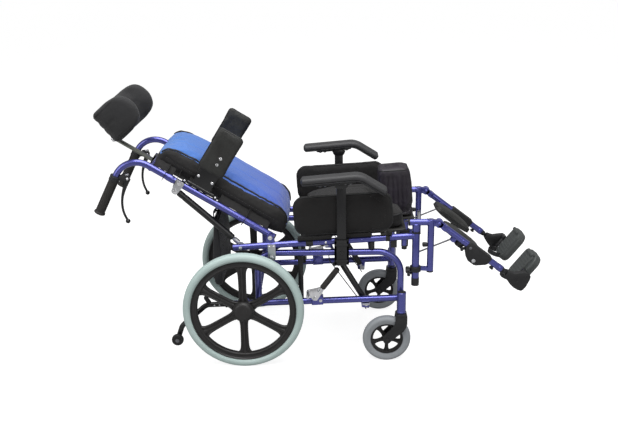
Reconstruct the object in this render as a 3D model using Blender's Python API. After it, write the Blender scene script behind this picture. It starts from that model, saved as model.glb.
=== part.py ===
# Child's reclining wheelchair with tilting seat, elevating legrests and positioning pads
# Metres, +X forwards, +Y to the sitter's left, +Z up, the rear axle over X = 0 until the model is centred
import math

import bmesh
import bpy
from mathutils import Matrix, Vector

# General fits
CLEAR = 0.0004
RUN = 0.0005
TUBE = 0.011
WELD = 0.00001
SIDES = 10
SMALL_SIDES = 8
BORE_SIDES = 10

# Rear wheels
WHEEL_R = 0.200
WHEEL_Y = 0.238
WHEEL_STEPS = 28
TYRE_DEPTH = 0.0256
TYRE_WIDTH = 0.036
RIM_DEPTH = 0.022
RIM_WIDTH = 0.026
SPOKES = 6
SPOKE_WIDTH = 0.030
SPOKE_THICK = 0.014
HUB_R = 0.028
HUB_CAP_R = 0.036
HUB_HALF = 0.025
AXLE_R = 0.006

# Castors
CASTOR_R = 0.080
CASTOR_WIDTH = 0.030
CASTOR_STEPS = 18
CASTOR_TYRE = 0.0265
CASTOR_HUB_R = 0.014
CASTOR_HUB_HALF = 0.0165
CASTOR_HOLES = 5
CASTOR_HOLE_R = 0.0118
CASTOR_PIN = 0.004
CASTOR_Y = 0.207
TRAIL = 0.048
SLEEVE_R = 0.0155
SLEEVE_LOW = 0.173
SLEEVE_HIGH = 0.246
STEM_R = 0.008
CHEEK = 0.005
CROWN_R = 0.019
CROWN_THICK = 0.011

# Base frame
BASE_Y = 0.182
BASE_TOP = 0.380
BASE_FRONT = 0.521
SWIVEL_X = BASE_FRONT + 0.002
BASE_REAR = 0.048
LOW_REAR_X = -0.062
LOW_REAR_Z = 0.1985
LOW_FRONT_Z = 0.215
FRONT_BEND = 0.075
REAR_BEND = 0.055
FOOT_OF_POST = 0.186
BRACE_X = 0.190
BRACE_WIDTH = 0.017
CROSS_R = 0.010
CROSS_REAR_Z = 0.250
CROSS_FRONT_X = 0.426
AXLE_BOSS_R = 0.017
AXLE_BOSS_IN = 0.168
TIP_R = 0.0088
TIP_TURN = -0.130
TIP_KNEE = (-0.217, 0.120)
TIP_WHEEL = (-0.232, 0.077)
TIP_BUTTON = ((-0.116, 0.197), (-0.134, 0.228))
TIP_BUTTON_R = 0.0075
TIP_AXLE_R = 0.0040
TIP_INSET = 0.038
TIP_WHEEL_R = 0.020
TIP_WHEEL_WIDTH = 0.016

# Parking brake
BRAKE_X = WHEEL_R + 0.036
BRAKE_PIVOT = (BRAKE_X, 0.224)
BRAKE_SHOE = (BRAKE_X - 0.022, 0.248)
BRAKE_KNEE = (BRAKE_X + 0.021, 0.257)
BRAKE_TOP = (BRAKE_X + 0.074, 0.327)
BRAKE_GRIP_R = 0.0085
BRAKE_PLATE = 0.004
BRAKE_GRIP_OUT = 0.004

# Seat frame
SEAT_Y = 0.187
RAIL_Z = 0.4042
RAIL_RISE = math.radians(3.15)
RAIL_REAR = -0.030
POST_X = BASE_FRONT + 0.048
POST_R = 0.0125
POST_LOW = 0.268
POST_TOP = 0.452
POST_BORE = 0.0088
POST_BORE_LOW = POST_TOP - 0.067
TILT_PIVOT = (0.097, 0.371)
TILT_PIN = 0.005
TILT_PLATE = 0.004

# Tilt spring
SPRING_Y = 0.156
SPRING_LOW = (0.409, 0.190)
SPRING_TOP = (0.284, 0.405)
SPRING_R = 0.010
SPRING_ROD_R = 0.005
SPRING_EYE = 0.008
SPRING_EYE_WIDTH = 0.010
SPRING_PIN = 0.0035

# Armrests
ARM_X = 0.326
ARM_Y = 0.215
ARM_POST_WIDE = 0.030
ARM_POST_THICK = 0.012
ARM_POST_LOW = 0.346
RECEIVER_LOW = 0.352
RECEIVER_HIGH = 0.436
RECEIVER_WIDE = 0.047
RECEIVER_DEEP = 0.024
PAD_Y = 0.225
PAD_REAR = (0.198, 0.634)
PAD_KNEE = (0.385, 0.649)
PAD_FRONT = (0.468, 0.597)
PAD_WIDE = 0.050
PAD_THICK = 0.024
PAD_BEND = 0.060
PAD_PLATE = 0.007
PAD_PLATE_REAR = 0.046
PAD_PLATE_FRONT = 0.172

# Seat
BOARD_REAR = 0.206
BOARD_FRONT = 0.540
BOARD_Y = 0.170
BOARD_THICK = 0.008
EAR_Y = 0.196
EAR_LENGTH = 0.035
EARS = (0.222, 0.455)
CUSHION_HALF = 0.174
CUSHION_THICK = 0.052
CUSHION_CROWN = 0.012
POMMEL_REAR = 0.462
POMMEL_FRONT = 0.579
POMMEL_HALF = 0.052
POMMEL_HEIGHT = 0.176
POMMEL_PLEATS = 17
POMMEL_PLEAT_DEPTH = 0.0025
HIP_REAR = 0.168
HIP_FRONT = 0.507
HIP_HEIGHT = 0.150
HIP_IN = 0.178
HIP_THICK = 0.028
HIP_CORNER = 0.045

# Back
BACK_Y = 0.163
RECLINE = (0.093, 0.4365)
BACK_ANGLE = math.radians(32.0)
HINGE_PIN = 0.0045
BACK_FOOT = -0.015
HANDLE_START = 0.455
HANDLE_BEND = 0.075
HANDLE_TURN = math.radians(94.6)
HANDLE_END = 0.139
GRIP_START = 0.021
GRIP_LENGTH = 0.124
GRIP_R = 0.016
BARS = (0.050, 0.195, 0.445)
BAR_R = 0.008
BAR_DROP = 0.006
BACK_LOW = -0.042
BACK_HIGH = 0.453
BACK_HALF = 0.146
BACK_PANEL = 0.130
BACK_FACE = 0.091
BACK_CROWN = 0.007
BACK_PROFILE = (
    (0.0, 0.330, 0.90), (0.016, 0.604, 0.96), (0.048, 0.835, 0.99), (0.105, 0.967, 1.0),
    (0.206, 1.0, 1.0), (0.408, 1.0, 1.0), (0.610, 1.0, 1.0), (0.772, 0.978, 1.0),
    (0.893, 0.912, 0.99), (0.958, 0.802, 0.97), (0.988, 0.604, 0.93), (1.0, 0.330, 0.86),
)
LEVER_PIVOT = (HANDLE_START + 0.037, -0.072)
LEVER_POINTS = ((HANDLE_START + 0.030, -0.113), (HANDLE_START + 0.011, -0.162),
                (HANDLE_START - 0.030, -0.201))
LEVER_R = 0.0045
LEVER_BALL = 0.008
STRUT_TOP = (0.341, -0.026)
STRUT_LOW_X = -0.005
STRUT_R = 0.011
STRUT_ROD_R = 0.006
STRUT_EYE = 0.009
STRUT_EYE_WIDTH = 0.005
STRUT_PIN = 0.004
LATERAL_LOW = 0.226
LATERAL_HIGH = 0.324
LATERAL_HINGE = 0.0195
LATERAL_BARREL = 0.0065
LATERAL_IN = 0.155
LATERAL_THICK = 0.015
LATERAL_BASE = 0.078
LATERAL_TOP = 0.236
SADDLE = 0.014
HEAD_TILT = math.radians(18.0)
HEAD_LOW = -0.022
HEAD_HIGH = 0.106
HEAD_BACK = 0.021
HEAD_FRONT = 0.170
HEAD_DOME = 0.054
HEAD_HALF = 0.130
HEAD_THICK = 0.042
HEAD_BAR_HALF = 0.015
HEAD_BAR_FACE = -0.025
HEAD_BAR_THICK = 0.006
HEAD_BAR_LOW = 0.330
HEAD_PIVOT = (0.605, -0.028)
HEAD_EYE = 0.007
BAG_PIVOT = (0.195, -0.034)
BAG_HALF = 0.140
BAG_THICK = 0.030
BAG_TOP = 0.030
BAG_BOTTOM = 0.270

# Legrests
HANGER_Z = POST_TOP + 0.030
HANGER_REAR = POST_X - 0.023
HANGER_X = POST_X + 0.048
HANGER_LOW = 0.312
HANGER_PIN = 0.0083
COLLAR_R = 0.0130
LEG_PIVOT = (HANGER_X + 0.026, HANGER_Z - 0.004)
LEG_ANGLE = math.radians(38.0)
LEG_EYE = 0.013
LEG_EYE_HALF = 0.007
LEG_CHEEK = 0.0035
LEG_PIN = 0.004
LEG_HEAD = 0.0165
LEG_END = 0.265
LEG_BORE_START = 0.125
CLAMP_START = 0.119
CLAMP_END = 0.213
FOOT_STEM_R = 0.0072
STEM_START = 0.150
HOUSING_START = 0.286
HOUSING_END = 0.364
RATCHET_Y = 0.166
RATCHET_R = 0.003
RATCHET_END = (0.075, -0.019)
RATCHET_GUIDE = (HANGER_X, 0.3865)
RATCHET_LENGTH = 0.135
CALF_START = 0.035
CALF_END = 0.195
CALF_IN = 0.060
CALF_OUT = 0.160
CALF_TOP = 0.005
CALF_THICK = 0.026
PLATE_TOP = 0.342
PLATE_THICK = 0.026
PLATE_HEEL = -0.020
PLATE_TOE = 0.100
PLATE_IN = 0.060
PLATE_OUT = 0.163
PLATE_HINGE = (0.3365, 0.160)
PLATE_BARREL = 0.0055
PLATE_LUGS = ((-0.020, -0.006), (0.030, 0.044))

# Paints and finishes: colour, roughness, metallic
FINISHES = {
    "blue_paint": ((0.05, 0.06, 0.36), 0.30, 0.5),
    "black_plastic": ((0.02, 0.02, 0.02), 0.45, 0.0),
    "grey_tyre": ((0.42, 0.50, 0.48), 0.70, 0.0),
    "castor_grey": ((0.25, 0.26, 0.28), 0.70, 0.0),
    "black_steel": ((0.02, 0.02, 0.025), 0.35, 0.6),
    "bright_steel": ((0.60, 0.60, 0.62), 0.28, 1.0),
    "black_fabric": ((0.015, 0.015, 0.016), 0.85, 0.0),
    "blue_fabric": ((0.04, 0.18, 0.55), 0.80, 0.0),
    "board": ((0.03, 0.03, 0.03), 0.60, 0.0),
}


# Scene and materials

def clear_scene():
    for obj in list(bpy.data.objects):
        bpy.data.objects.remove(obj, do_unlink=True)


def finish(name):
    material = bpy.data.materials.get(name)
    if material is None:
        colour, roughness, metallic = FINISHES[name]
        material = bpy.data.materials.new(name)
        material.use_nodes = True
        shader = material.node_tree.nodes["Principled BSDF"]
        shader.inputs["Base Color"].default_value = (*colour, 1.0)
        shader.inputs["Roughness"].default_value = roughness
        shader.inputs["Metallic"].default_value = metallic
    return material


def pivot(name, matrix, parent=None):
    empty = bpy.data.objects.new(name, None)
    empty.empty_display_size = 0.03
    bpy.context.scene.collection.objects.link(empty)
    empty.parent = parent
    empty.matrix_world = matrix
    bpy.context.view_layer.update()
    return empty


# Solids, each a bmesh

def closed(bm):
    bmesh.ops.remove_doubles(bm, verts=bm.verts, dist=0.000001)
    return facing_out(bm)


def facing_out(bm):
    bmesh.ops.recalc_face_normals(bm, faces=bm.faces)
    if bm.calc_volume(signed=True) < 0:
        bmesh.ops.reverse_faces(bm, faces=bm.faces)
    return bm


def prism(outline, low, high):
    # An XZ outline drawn along Y from low to high
    bm = bmesh.new()
    first = [bm.verts.new((x, low, z)) for x, z in outline]
    second = [bm.verts.new((x, high, z)) for x, z in outline]
    count = len(outline)
    bm.faces.new(first)
    bm.faces.new(list(reversed(second)))
    for i in range(count):
        j = (i + 1) % count
        bm.faces.new((first[i], second[i], second[j], first[j]))
    return closed(bm)


def box(low, high):
    x0, x1 = sorted((low[0], high[0]))
    y0, y1 = sorted((low[1], high[1]))
    z0, z1 = sorted((low[2], high[2]))
    return prism(((x0, z0), (x1, z0), (x1, z1), (x0, z1)), y0, y1)


def loft(rings):
    # Closed skin over rings of equal length, capped at both ends
    bm = bmesh.new()
    rows = [[bm.verts.new(point) for point in ring] for ring in rings]
    count = len(rows[0])
    for first, second in zip(rows, rows[1:]):
        for i in range(count):
            j = (i + 1) % count
            bm.faces.new((first[i], first[j], second[j], second[i]))
    caps = [bm.faces.new(list(reversed(rows[0]))), bm.faces.new(rows[-1])]
    bmesh.ops.triangulate(bm, faces=caps)
    return closed(bm)


def ring_round(centre, direction, radius, sides, phase=0.0):
    direction = Vector(direction).normalized()
    across = Vector((0, 1, 0)).cross(direction)
    if across.length < 0.01:
        across = Vector((1, 0, 0))
    across.normalize()
    over = direction.cross(across)
    points = []
    for i in range(sides):
        angle = 2 * math.pi * (i + phase) / sides
        points.append(Vector(centre) + across * radius * math.cos(angle) + over * radius * math.sin(angle))
    return points


def rod(start, end, radius, sides=None):
    start = Vector(start)
    end = Vector(end)
    along = end - start
    sides = sides or (SIDES if radius > 0.009 else SMALL_SIDES)
    return loft([ring_round(start, along, radius, sides, 0.5), ring_round(end, along, radius, sides, 0.5)])


def cone(start, end, radius, end_radius, sides=SIDES):
    start = Vector(start)
    end = Vector(end)
    along = end - start
    return loft([ring_round(start, along, radius, sides, 0.5),
                 ring_round(end, along, end_radius, sides, 0.5)])


def ball(centre, radius):
    bm = bmesh.new()
    bmesh.ops.create_uvsphere(bm, u_segments=8, v_segments=5, radius=radius)
    bmesh.ops.translate(bm, verts=bm.verts, vec=Vector(centre))
    return closed(bm)


def rounded_path(points, radius, steps=5):
    # Corners of a polyline turned into arcs
    points = [Vector(point) for point in points]
    path = [points[0]]
    radii = radius if isinstance(radius, (list, tuple)) else [radius] * (len(points) - 2)
    for before, corner, after, bend in zip(points, points[1:], points[2:], radii):
        back = (before - corner).normalized()
        ahead = (after - corner).normalized()
        half = back.angle(ahead) / 2
        reach = bend / math.tan(half)
        centre = corner + (back + ahead).normalized() * bend / math.sin(half)
        start = corner + back * reach - centre
        turn = math.pi - 2 * half
        axis = back.cross(ahead).normalized()
        for i in range(steps + 1):
            spin = Matrix.Rotation(-turn * i / steps, 3, axis)
            path.append(centre + spin @ start)
    path.append(points[-1])
    return path


def bent_tube(points, tube_radius, bend, steps=5, sides=SIDES):
    path = rounded_path(points, bend, steps)
    rings = []
    for i, point in enumerate(path):
        before = path[max(i - 1, 0)]
        after = path[min(i + 1, len(path) - 1)]
        rings.append(ring_round(point, after - before, tube_radius, sides, 0.5))
    return loft(rings)


def turned(profile, centre, steps, phase=0.5):
    # A closed profile of (radius, offset) spun about an axis along Y
    bm = bmesh.new()
    rows = []
    for i in range(steps):
        angle = 2 * math.pi * (i + phase) / steps
        row = []
        for radius, offset in profile:
            x = centre[0] + radius * math.sin(angle)
            z = centre[2] - radius * math.cos(angle)
            row.append(bm.verts.new((x, centre[1] + offset, z)))
        rows.append(row)
    count = len(profile)
    for i in range(steps):
        row = rows[i]
        following = rows[(i + 1) % steps]
        for j in range(count):
            k = (j + 1) % count
            bm.faces.new((row[j], row[k], following[k], following[j]))
    return closed(bm)


def rounded_rectangle(half_x, half_y, corner, steps=3):
    points = []
    for quarter in range(4):
        sx = (1, -1, -1, 1)[quarter]
        sy = (1, 1, -1, -1)[quarter]
        for i in range(steps + 1):
            angle = math.pi / 2 * (quarter + i / steps)
            x = sx * (half_x - corner) + corner * math.cos(angle)
            y = sy * (half_y - corner) + corner * math.sin(angle)
            points.append((x, y))
    return points


def cushion(centre, half_x, half_y, corner, levels, axis="Z"):
    # Rounded rectangles stacked along one axis: each level is (height, inset)
    rings = []
    for height, inset in levels:
        ring = []
        for x, y in rounded_rectangle(half_x - inset, half_y - inset, max(corner - inset, 0.004)):
            if axis == "Z":
                ring.append(Vector(centre) + Vector((x, y, height)))
            else:
                ring.append(Vector(centre) + Vector((x, height, y)))
        rings.append(ring)
    return loft(rings)


def crowned_levels(thickness, crown, edge, pinch):
    # Flat underside, drawn-in side with a seam at mid height, and a crowned top
    side = thickness - crown
    return [
        (0.0, edge), (edge * 0.5, 0.0), (side * 0.5, pinch), (side - edge * 0.5, 0.0),
        (side, edge * 0.6), (side + crown * 0.55, edge + 0.020), (side + crown * 0.9, edge + 0.045),
        (thickness, edge + 0.075),
    ]


def moved(bm, matrix):
    bmesh.ops.transform(bm, matrix=matrix, verts=bm.verts)
    return bm


# Joining and placing

def temporary(bm):
    mesh = bpy.data.meshes.new("piece")
    bm.to_mesh(mesh)
    bm.free()
    obj = bpy.data.objects.new("piece", mesh)
    bpy.context.scene.collection.objects.link(obj)
    return obj


def combined(bodies, cuts):
    # Union of all bodies, less every cut, as one mesh
    mesh = boolean(bodies[0], bodies[1:], "UNION")
    if cuts:
        bm = bmesh.new()
        bm.from_mesh(mesh)
        mesh = boolean(bm, cuts, "DIFFERENCE")
    return mesh


def boolean(first, others, operation):
    host = temporary(first)
    group = bpy.data.collections.new("operands")
    bpy.context.scene.collection.children.link(group)
    helpers = [temporary(solid) for solid in others]
    if helpers:
        for helper in helpers:
            bpy.context.scene.collection.objects.unlink(helper)
            group.objects.link(helper)
        modifier = host.modifiers.new("boolean", "BOOLEAN")
        modifier.operation = operation
        modifier.solver = "EXACT"
        modifier.operand_type = "COLLECTION"
        modifier.collection = group
    bpy.context.view_layer.update()
    graph = bpy.context.evaluated_depsgraph_get()
    mesh = bpy.data.meshes.new_from_object(host.evaluated_get(graph))
    for obj in [host] + helpers:
        bpy.data.objects.remove(obj, do_unlink=True)
    bpy.data.collections.remove(group)
    return welded(mesh)


def welded(mesh):
    # Slivers left where faces nearly meet are closed up
    bm = bmesh.new()
    bm.from_mesh(mesh)
    bmesh.ops.remove_doubles(bm, verts=bm.verts, dist=WELD)
    bmesh.ops.dissolve_degenerate(bm, edges=bm.edges, dist=WELD / 10)
    loose = [edge for edge in bm.edges if edge.is_wire]
    bmesh.ops.delete(bm, geom=loose, context="EDGES")
    open_edges = [edge for edge in bm.edges if edge.is_boundary]
    if open_edges:
        bmesh.ops.holes_fill(bm, edges=open_edges)
    facing_out(bm)
    bm.to_mesh(mesh)
    bm.free()
    return mesh


def part(name, finish_name, parent, bodies, cuts=(), frame=None):
    mesh = combined(list(bodies), list(cuts))
    mesh.name = name
    mesh.materials.clear()
    mesh.materials.append(finish(finish_name))
    frame = frame or Matrix.Identity(4)
    mesh.transform(parent.matrix_world.inverted() @ frame)
    mesh.shade_smooth()
    mesh.set_sharp_from_angle(angle=math.radians(35))
    obj = bpy.data.objects.new(name, mesh)
    bpy.context.scene.collection.objects.link(obj)
    obj.parent = parent
    return obj


def side_name(stem, side):
    return stem + ("_right" if side < 0 else "_left")


def rail_height(x):
    return RAIL_Z + math.tan(RAIL_RISE) * x


def low_rail_height(x):
    slope = (LOW_FRONT_Z - LOW_REAR_Z) / (BASE_FRONT - LOW_REAR_X)
    return LOW_REAR_Z + slope * (x - LOW_REAR_X)


def place(x, z, y=0.0):
    return Matrix.Translation((x, y, z))


def seat_frame():
    return place(0.0, RAIL_Z) @ Matrix.Rotation(-RAIL_RISE, 4, "Y")


def back_frame_matrix():
    return place(*RECLINE) @ Matrix.Rotation(BACK_ANGLE, 4, "Y")


def leg_frame():
    return place(*LEG_PIVOT) @ Matrix.Rotation(LEG_ANGLE, 4, "Y")


def up_back(u, y, n):
    # A point u up the back from the hinge and n in front of its tubes
    return Vector((-u, y, n))


# Base frame and wheels

def build_base_side(side, chair):
    y = side * BASE_Y
    loop = bent_tube(
        ((BASE_FRONT, y, FOOT_OF_POST), (BASE_FRONT, y, BASE_TOP), (BASE_REAR, y, BASE_TOP),
         (BASE_REAR, y, low_rail_height(BASE_REAR))), TUBE, (FRONT_BEND, REAR_BEND), 5)
    low_rail = rod((LOW_REAR_X, y, LOW_REAR_Z), (BASE_FRONT, y, LOW_FRONT_Z), TUBE)
    sleeve = rod((SWIVEL_X, side * CASTOR_Y, SLEEVE_LOW), (SWIVEL_X, side * CASTOR_Y, SLEEVE_HIGH),
                 SLEEVE_R)
    axle_out = WHEEL_Y - HUB_HALF - RUN
    boss = rod((0, side * AXLE_BOSS_IN, WHEEL_R), (0, side * axle_out, WHEEL_R), AXLE_BOSS_R)
    brace_in = BASE_Y - TUBE - 0.0035
    brace = box((BRACE_X - BRACE_WIDTH / 2, side * brace_in, low_rail_height(BRACE_X)),
                (BRACE_X + BRACE_WIDTH / 2, side * (BASE_Y - TUBE + 0.0025), BASE_TOP - 0.004))
    tilt_x, tilt_z = TILT_PIVOT
    plate_in = SEAT_Y + TUBE - 0.002
    plate_out = plate_in + TILT_PLATE
    boss_out = plate_in - RUN
    tilt_boss = rod((tilt_x, y, tilt_z), (tilt_x, side * boss_out, tilt_z), 0.010)
    tilt_pin = rod((tilt_x, side * (BASE_Y + 0.002), tilt_z),
                   (tilt_x, side * (plate_out + 0.002), tilt_z), TILT_PIN)
    tilt_head = rod((tilt_x, side * (plate_out + RUN), tilt_z),
                    (tilt_x, side * (plate_out + 0.0045), tilt_z), 0.008)
    spring_x, spring_z = SPRING_LOW
    lug_in = SPRING_Y + SPRING_EYE_WIDTH / 2 + RUN
    lug_face = SPRING_Y + SPRING_R + 0.002
    lug = prism(((spring_x - 0.020, low_rail_height(spring_x)), (spring_x - 0.016, spring_z - 0.012),
                 (spring_x + 0.009, spring_z - 0.015), (spring_x + 0.012, low_rail_height(spring_x))),
                *sorted((side * lug_face, side * (BASE_Y - 0.006))))
    lug_boss = rod((spring_x, side * lug_in, spring_z), (spring_x, side * (lug_face + 0.003), spring_z),
                   0.0075)
    lug_pin = rod((spring_x, side * (BASE_Y - 0.009), spring_z),
                  (spring_x, side * (SPRING_Y - SPRING_EYE_WIDTH / 2 - 0.002), spring_z), SPRING_PIN)
    pivot_x, pivot_z = BRAKE_PIVOT
    clamp_out = SEAT_Y + TUBE - 0.0015
    clamp = prism(((pivot_x - 0.011, pivot_z - 0.028), (pivot_x + 0.028, pivot_z - 0.026),
                   (pivot_x + 0.028, pivot_z + 0.002), (pivot_x + 0.010, pivot_z + 0.012),
                   (pivot_x - 0.011, pivot_z + 0.010)), *sorted((side * (BASE_Y - TUBE - 0.002),
                                                                 side * clamp_out)))
    brake_pin = rod((pivot_x, y, pivot_z), (pivot_x, side * (clamp_out + BRAKE_PLATE + 0.004), pivot_z),
                    0.004)
    stem_bore = rod((SWIVEL_X, side * CASTOR_Y, SLEEVE_LOW - 0.01),
                    (SWIVEL_X, side * CASTOR_Y, SLEEVE_HIGH - 0.012), STEM_R + 0.0007, BORE_SIDES)
    axle_bore = rod((0, side * (AXLE_BOSS_IN - 0.01), WHEEL_R), (0, side * (axle_out + 0.01), WHEEL_R),
                    AXLE_R + RUN, BORE_SIDES)
    tip_bore = rod((LOW_REAR_X - 0.01, y, low_rail_height(LOW_REAR_X - 0.01)),
                   (LOW_REAR_X + 0.042, y, low_rail_height(LOW_REAR_X + 0.042)), TIP_R + RUN, BORE_SIDES)
    part(side_name("base_frame", side), "blue_paint", chair,
         [loop, low_rail, sleeve, boss, brace, tilt_boss, tilt_pin, tilt_head, lug, lug_boss, lug_pin,
          clamp, brake_pin],
         [stem_bore, axle_bore, tip_bore])


def build_cross_tubes(chair):
    reach = BASE_Y - TUBE - CLEAR
    for name, x, z in (("rear_cross_tube", BASE_REAR, CROSS_REAR_Z),
                       ("front_cross_tube", CROSS_FRONT_X, BASE_TOP)):
        part(name, "blue_paint", chair, [rod((x, -reach, z), (x, reach, z), CROSS_R)])


def build_rear_wheel(side, chair):
    centre = Vector((0, side * WHEEL_Y, WHEEL_R))
    axle = pivot(side_name("rear_wheel_axle", side), Matrix.Translation(centre), chair)
    outer = WHEEL_R / math.cos(math.pi / WHEEL_STEPS)
    inner = outer - TYRE_DEPTH
    half = TYRE_WIDTH / 2
    tread = [(inner, 0.012), (inner + 0.008, half), (outer - 0.007, half * 0.85), (outer, half * 0.35)]
    profile = tread + [(radius, -offset) for radius, offset in reversed(tread)]
    part(side_name("rear_tyre", side), "grey_tyre", axle, [turned(profile, centre, WHEEL_STEPS)])
    rim_out = inner - CLEAR
    rim_in = rim_out - RIM_DEPTH
    rim_half = RIM_WIDTH / 2
    section = [(rim_out, rim_half), (rim_in + 0.005, rim_half * 0.8), (rim_in, rim_half * 0.5)]
    ring = turned(section + [(radius, -offset) for radius, offset in reversed(section)], centre,
                  WHEEL_STEPS)
    inward = -side
    hub = rod(centre + Vector((0, inward * HUB_HALF, 0)), centre - Vector((0, inward * 0.012, 0)), HUB_R,
              14)
    cap = cone(centre - Vector((0, inward * 0.006, 0)), centre - Vector((0, inward * 0.021, 0)),
               HUB_CAP_R, 0.026, 14)
    dome = cone(centre - Vector((0, inward * 0.017, 0)), centre - Vector((0, inward * HUB_HALF, 0)),
                0.022, 0.014, 10)
    spokes = []
    for i in range(SPOKES):
        angle = 2 * math.pi * i / SPOKES
        wide = SPOKE_WIDTH / 2
        thick = SPOKE_THICK / 2
        rings = []
        for reach, share in ((HUB_R - 0.006, 0.75), (rim_in + 0.004, 0.90)):
            ring_points = []
            for a, b in ((-wide, -thick * 0.6), (0, -thick), (wide, -thick * 0.6), (wide, thick * 0.6),
                         (-wide, thick * 0.6)):
                flat = Vector((math.cos(angle) * a * share, -side * b, -math.sin(angle) * a * share))
                out = Vector((math.sin(angle), 0, math.cos(angle))) * reach
                ring_points.append(centre + flat + out)
            rings.append(ring_points)
        spokes.append(loft(rings))
    pin = rod(centre + Vector((0, inward * (HUB_HALF - 0.005), 0)),
              Vector((0, side * (AXLE_BOSS_IN + 0.003), WHEEL_R)), AXLE_R, BORE_SIDES)
    part(side_name("rear_rim", side), "black_plastic", axle, [ring, hub, cap, dome, pin] + spokes)


def build_castor(side, chair):
    stem_foot = Vector((SWIVEL_X, side * CASTOR_Y, 0))
    swivel = pivot(side_name("castor_swivel", side), Matrix.Translation(stem_foot + Vector((0, 0,
            SLEEVE_LOW))), chair)
    axle_x = SWIVEL_X - TRAIL
    centre = Vector((axle_x, side * CASTOR_Y, CASTOR_R))
    crown_top = SLEEVE_LOW - RUN
    crown_low = crown_top - CROWN_THICK
    inner = CASTOR_WIDTH / 2 + 0.0025
    outer = inner + CHEEK
    y = side * CASTOR_Y
    crown = prism(((SWIVEL_X - CROWN_R, crown_low), (SWIVEL_X + CROWN_R, crown_low),
                   (SWIVEL_X + CROWN_R, crown_top - 0.004),
                   (SWIVEL_X + CROWN_R - 0.006, crown_top), (SWIVEL_X - CROWN_R + 0.006, crown_top),
                   (SWIVEL_X - CROWN_R, crown_top - 0.004)), y - outer, y + outer)
    rear = SWIVEL_X - CROWN_R
    front = SWIVEL_X + CROWN_R
    cheek = ((rear, crown_low + 0.002), (rear - 0.002, CASTOR_R * 1.75), (axle_x - 0.010, CASTOR_R + 0.008),
             (axle_x - 0.009, CASTOR_R - 0.008), (axle_x + 0.006, CASTOR_R - 0.012),
             (SWIVEL_X + 0.008, CASTOR_R * 1.4), (front, CASTOR_R * 1.69), (front, crown_low + 0.002))
    cheeks = [prism(cheek, y + inner, y + outer), prism(cheek, y - outer, y - inner)]
    stem = rod(stem_foot + Vector((0, 0, crown_low + 0.004)),
               stem_foot + Vector((0, 0, SLEEVE_HIGH - 0.018)), STEM_R, BORE_SIDES)
    pin = rod((axle_x, y - outer - 0.002, CASTOR_R), (axle_x, y + outer + 0.002, CASTOR_R), CASTOR_PIN)
    part(side_name("castor_fork", side), "black_plastic", swivel, [crown, stem, pin] + cheeks)
    axle = pivot(side_name("castor_axle", side), Matrix.Translation(centre), swivel)
    rim = CASTOR_R / math.cos(math.pi / CASTOR_STEPS)
    half = CASTOR_WIDTH / 2
    web_r = CASTOR_R - CASTOR_TYRE
    tyre = turned([(web_r, -half * 0.75), (rim - 0.010, -half), (rim, -half * 0.45), (rim, half * 0.45),
                   (rim - 0.010, half), (web_r, half * 0.75)], centre, CASTOR_STEPS)
    web = rod(centre - Vector((0, 0.005, 0)), centre + Vector((0, 0.005, 0)), web_r + 0.003, CASTOR_STEPS)
    hub = rod(centre - Vector((0, CASTOR_HUB_HALF, 0)), centre + Vector((0, CASTOR_HUB_HALF, 0)),
              CASTOR_HUB_R, 10)
    holes = [rod(centre - Vector((0, 0.03, 0)), centre + Vector((0, 0.03, 0)), CASTOR_PIN + RUN,
                 BORE_SIDES)]
    middle = (CASTOR_HUB_R + web_r) / 2
    for i in range(CASTOR_HOLES):
        angle = 2 * math.pi * (i + 0.25) / CASTOR_HOLES
        spot = centre + Vector((math.cos(angle), 0, math.sin(angle))) * middle
        holes.append(rod(spot - Vector((0, 0.03, 0)), spot + Vector((0, 0.03, 0)), CASTOR_HOLE_R, 6))
    part(side_name("castor_wheel", side), "castor_grey", axle, [tyre, web, hub], holes)


def build_antitip(side, chair):
    y = side * BASE_Y
    wheel_x, wheel_z = TIP_WHEEL
    start = LOW_REAR_X + TIP_INSET
    knee_x, knee_z = TIP_KNEE
    line = ((start, y, low_rail_height(start)), (TIP_TURN, y, low_rail_height(TIP_TURN)),
            (knee_x, y, knee_z), (wheel_x, y, wheel_z))
    tube = bent_tube(line, TIP_R, 4 * TIP_R, 3)
    (foot_x, foot_z), (top_x, top_z) = TIP_BUTTON
    stub = rod((foot_x, y, foot_z), (top_x, y, top_z), TIP_BUTTON_R)
    wheel_in = BASE_Y + TIP_R + 0.002
    wheel_out = wheel_in + TIP_WHEEL_WIDTH
    boss = rod((wheel_x, side * (BASE_Y - TIP_R), wheel_z), (wheel_x, side * (wheel_in - RUN), wheel_z),
               0.010)
    pin = rod((wheel_x, y, wheel_z), (wheel_x, side * (wheel_out + 0.002), wheel_z), TIP_AXLE_R)
    head = rod((wheel_x, side * (wheel_out + RUN), wheel_z),
               (wheel_x, side * (wheel_out + 0.004), wheel_z), 0.007)
    part(side_name("antitip_tube", side), "black_steel", chair, [tube, stub, boss, pin, head])
    axle = pivot(side_name("antitip_axle", side), place(wheel_x, wheel_z,
                                                        side * (wheel_in + TIP_WHEEL_WIDTH / 2)), chair)
    middle = Vector((wheel_x, side * (wheel_in + TIP_WHEEL_WIDTH / 2), wheel_z))
    half = TIP_WHEEL_WIDTH / 2
    wheel = turned([(TIP_AXLE_R + 0.0006, -half), (TIP_WHEEL_R - 0.003, -half),
                    (TIP_WHEEL_R, -half * 0.6), (TIP_WHEEL_R, half * 0.6),
                    (TIP_WHEEL_R - 0.003, half), (TIP_AXLE_R + 0.0006, half)], middle, 18)
    part(side_name("antitip_wheel", side), "black_plastic", axle, [wheel])


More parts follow.
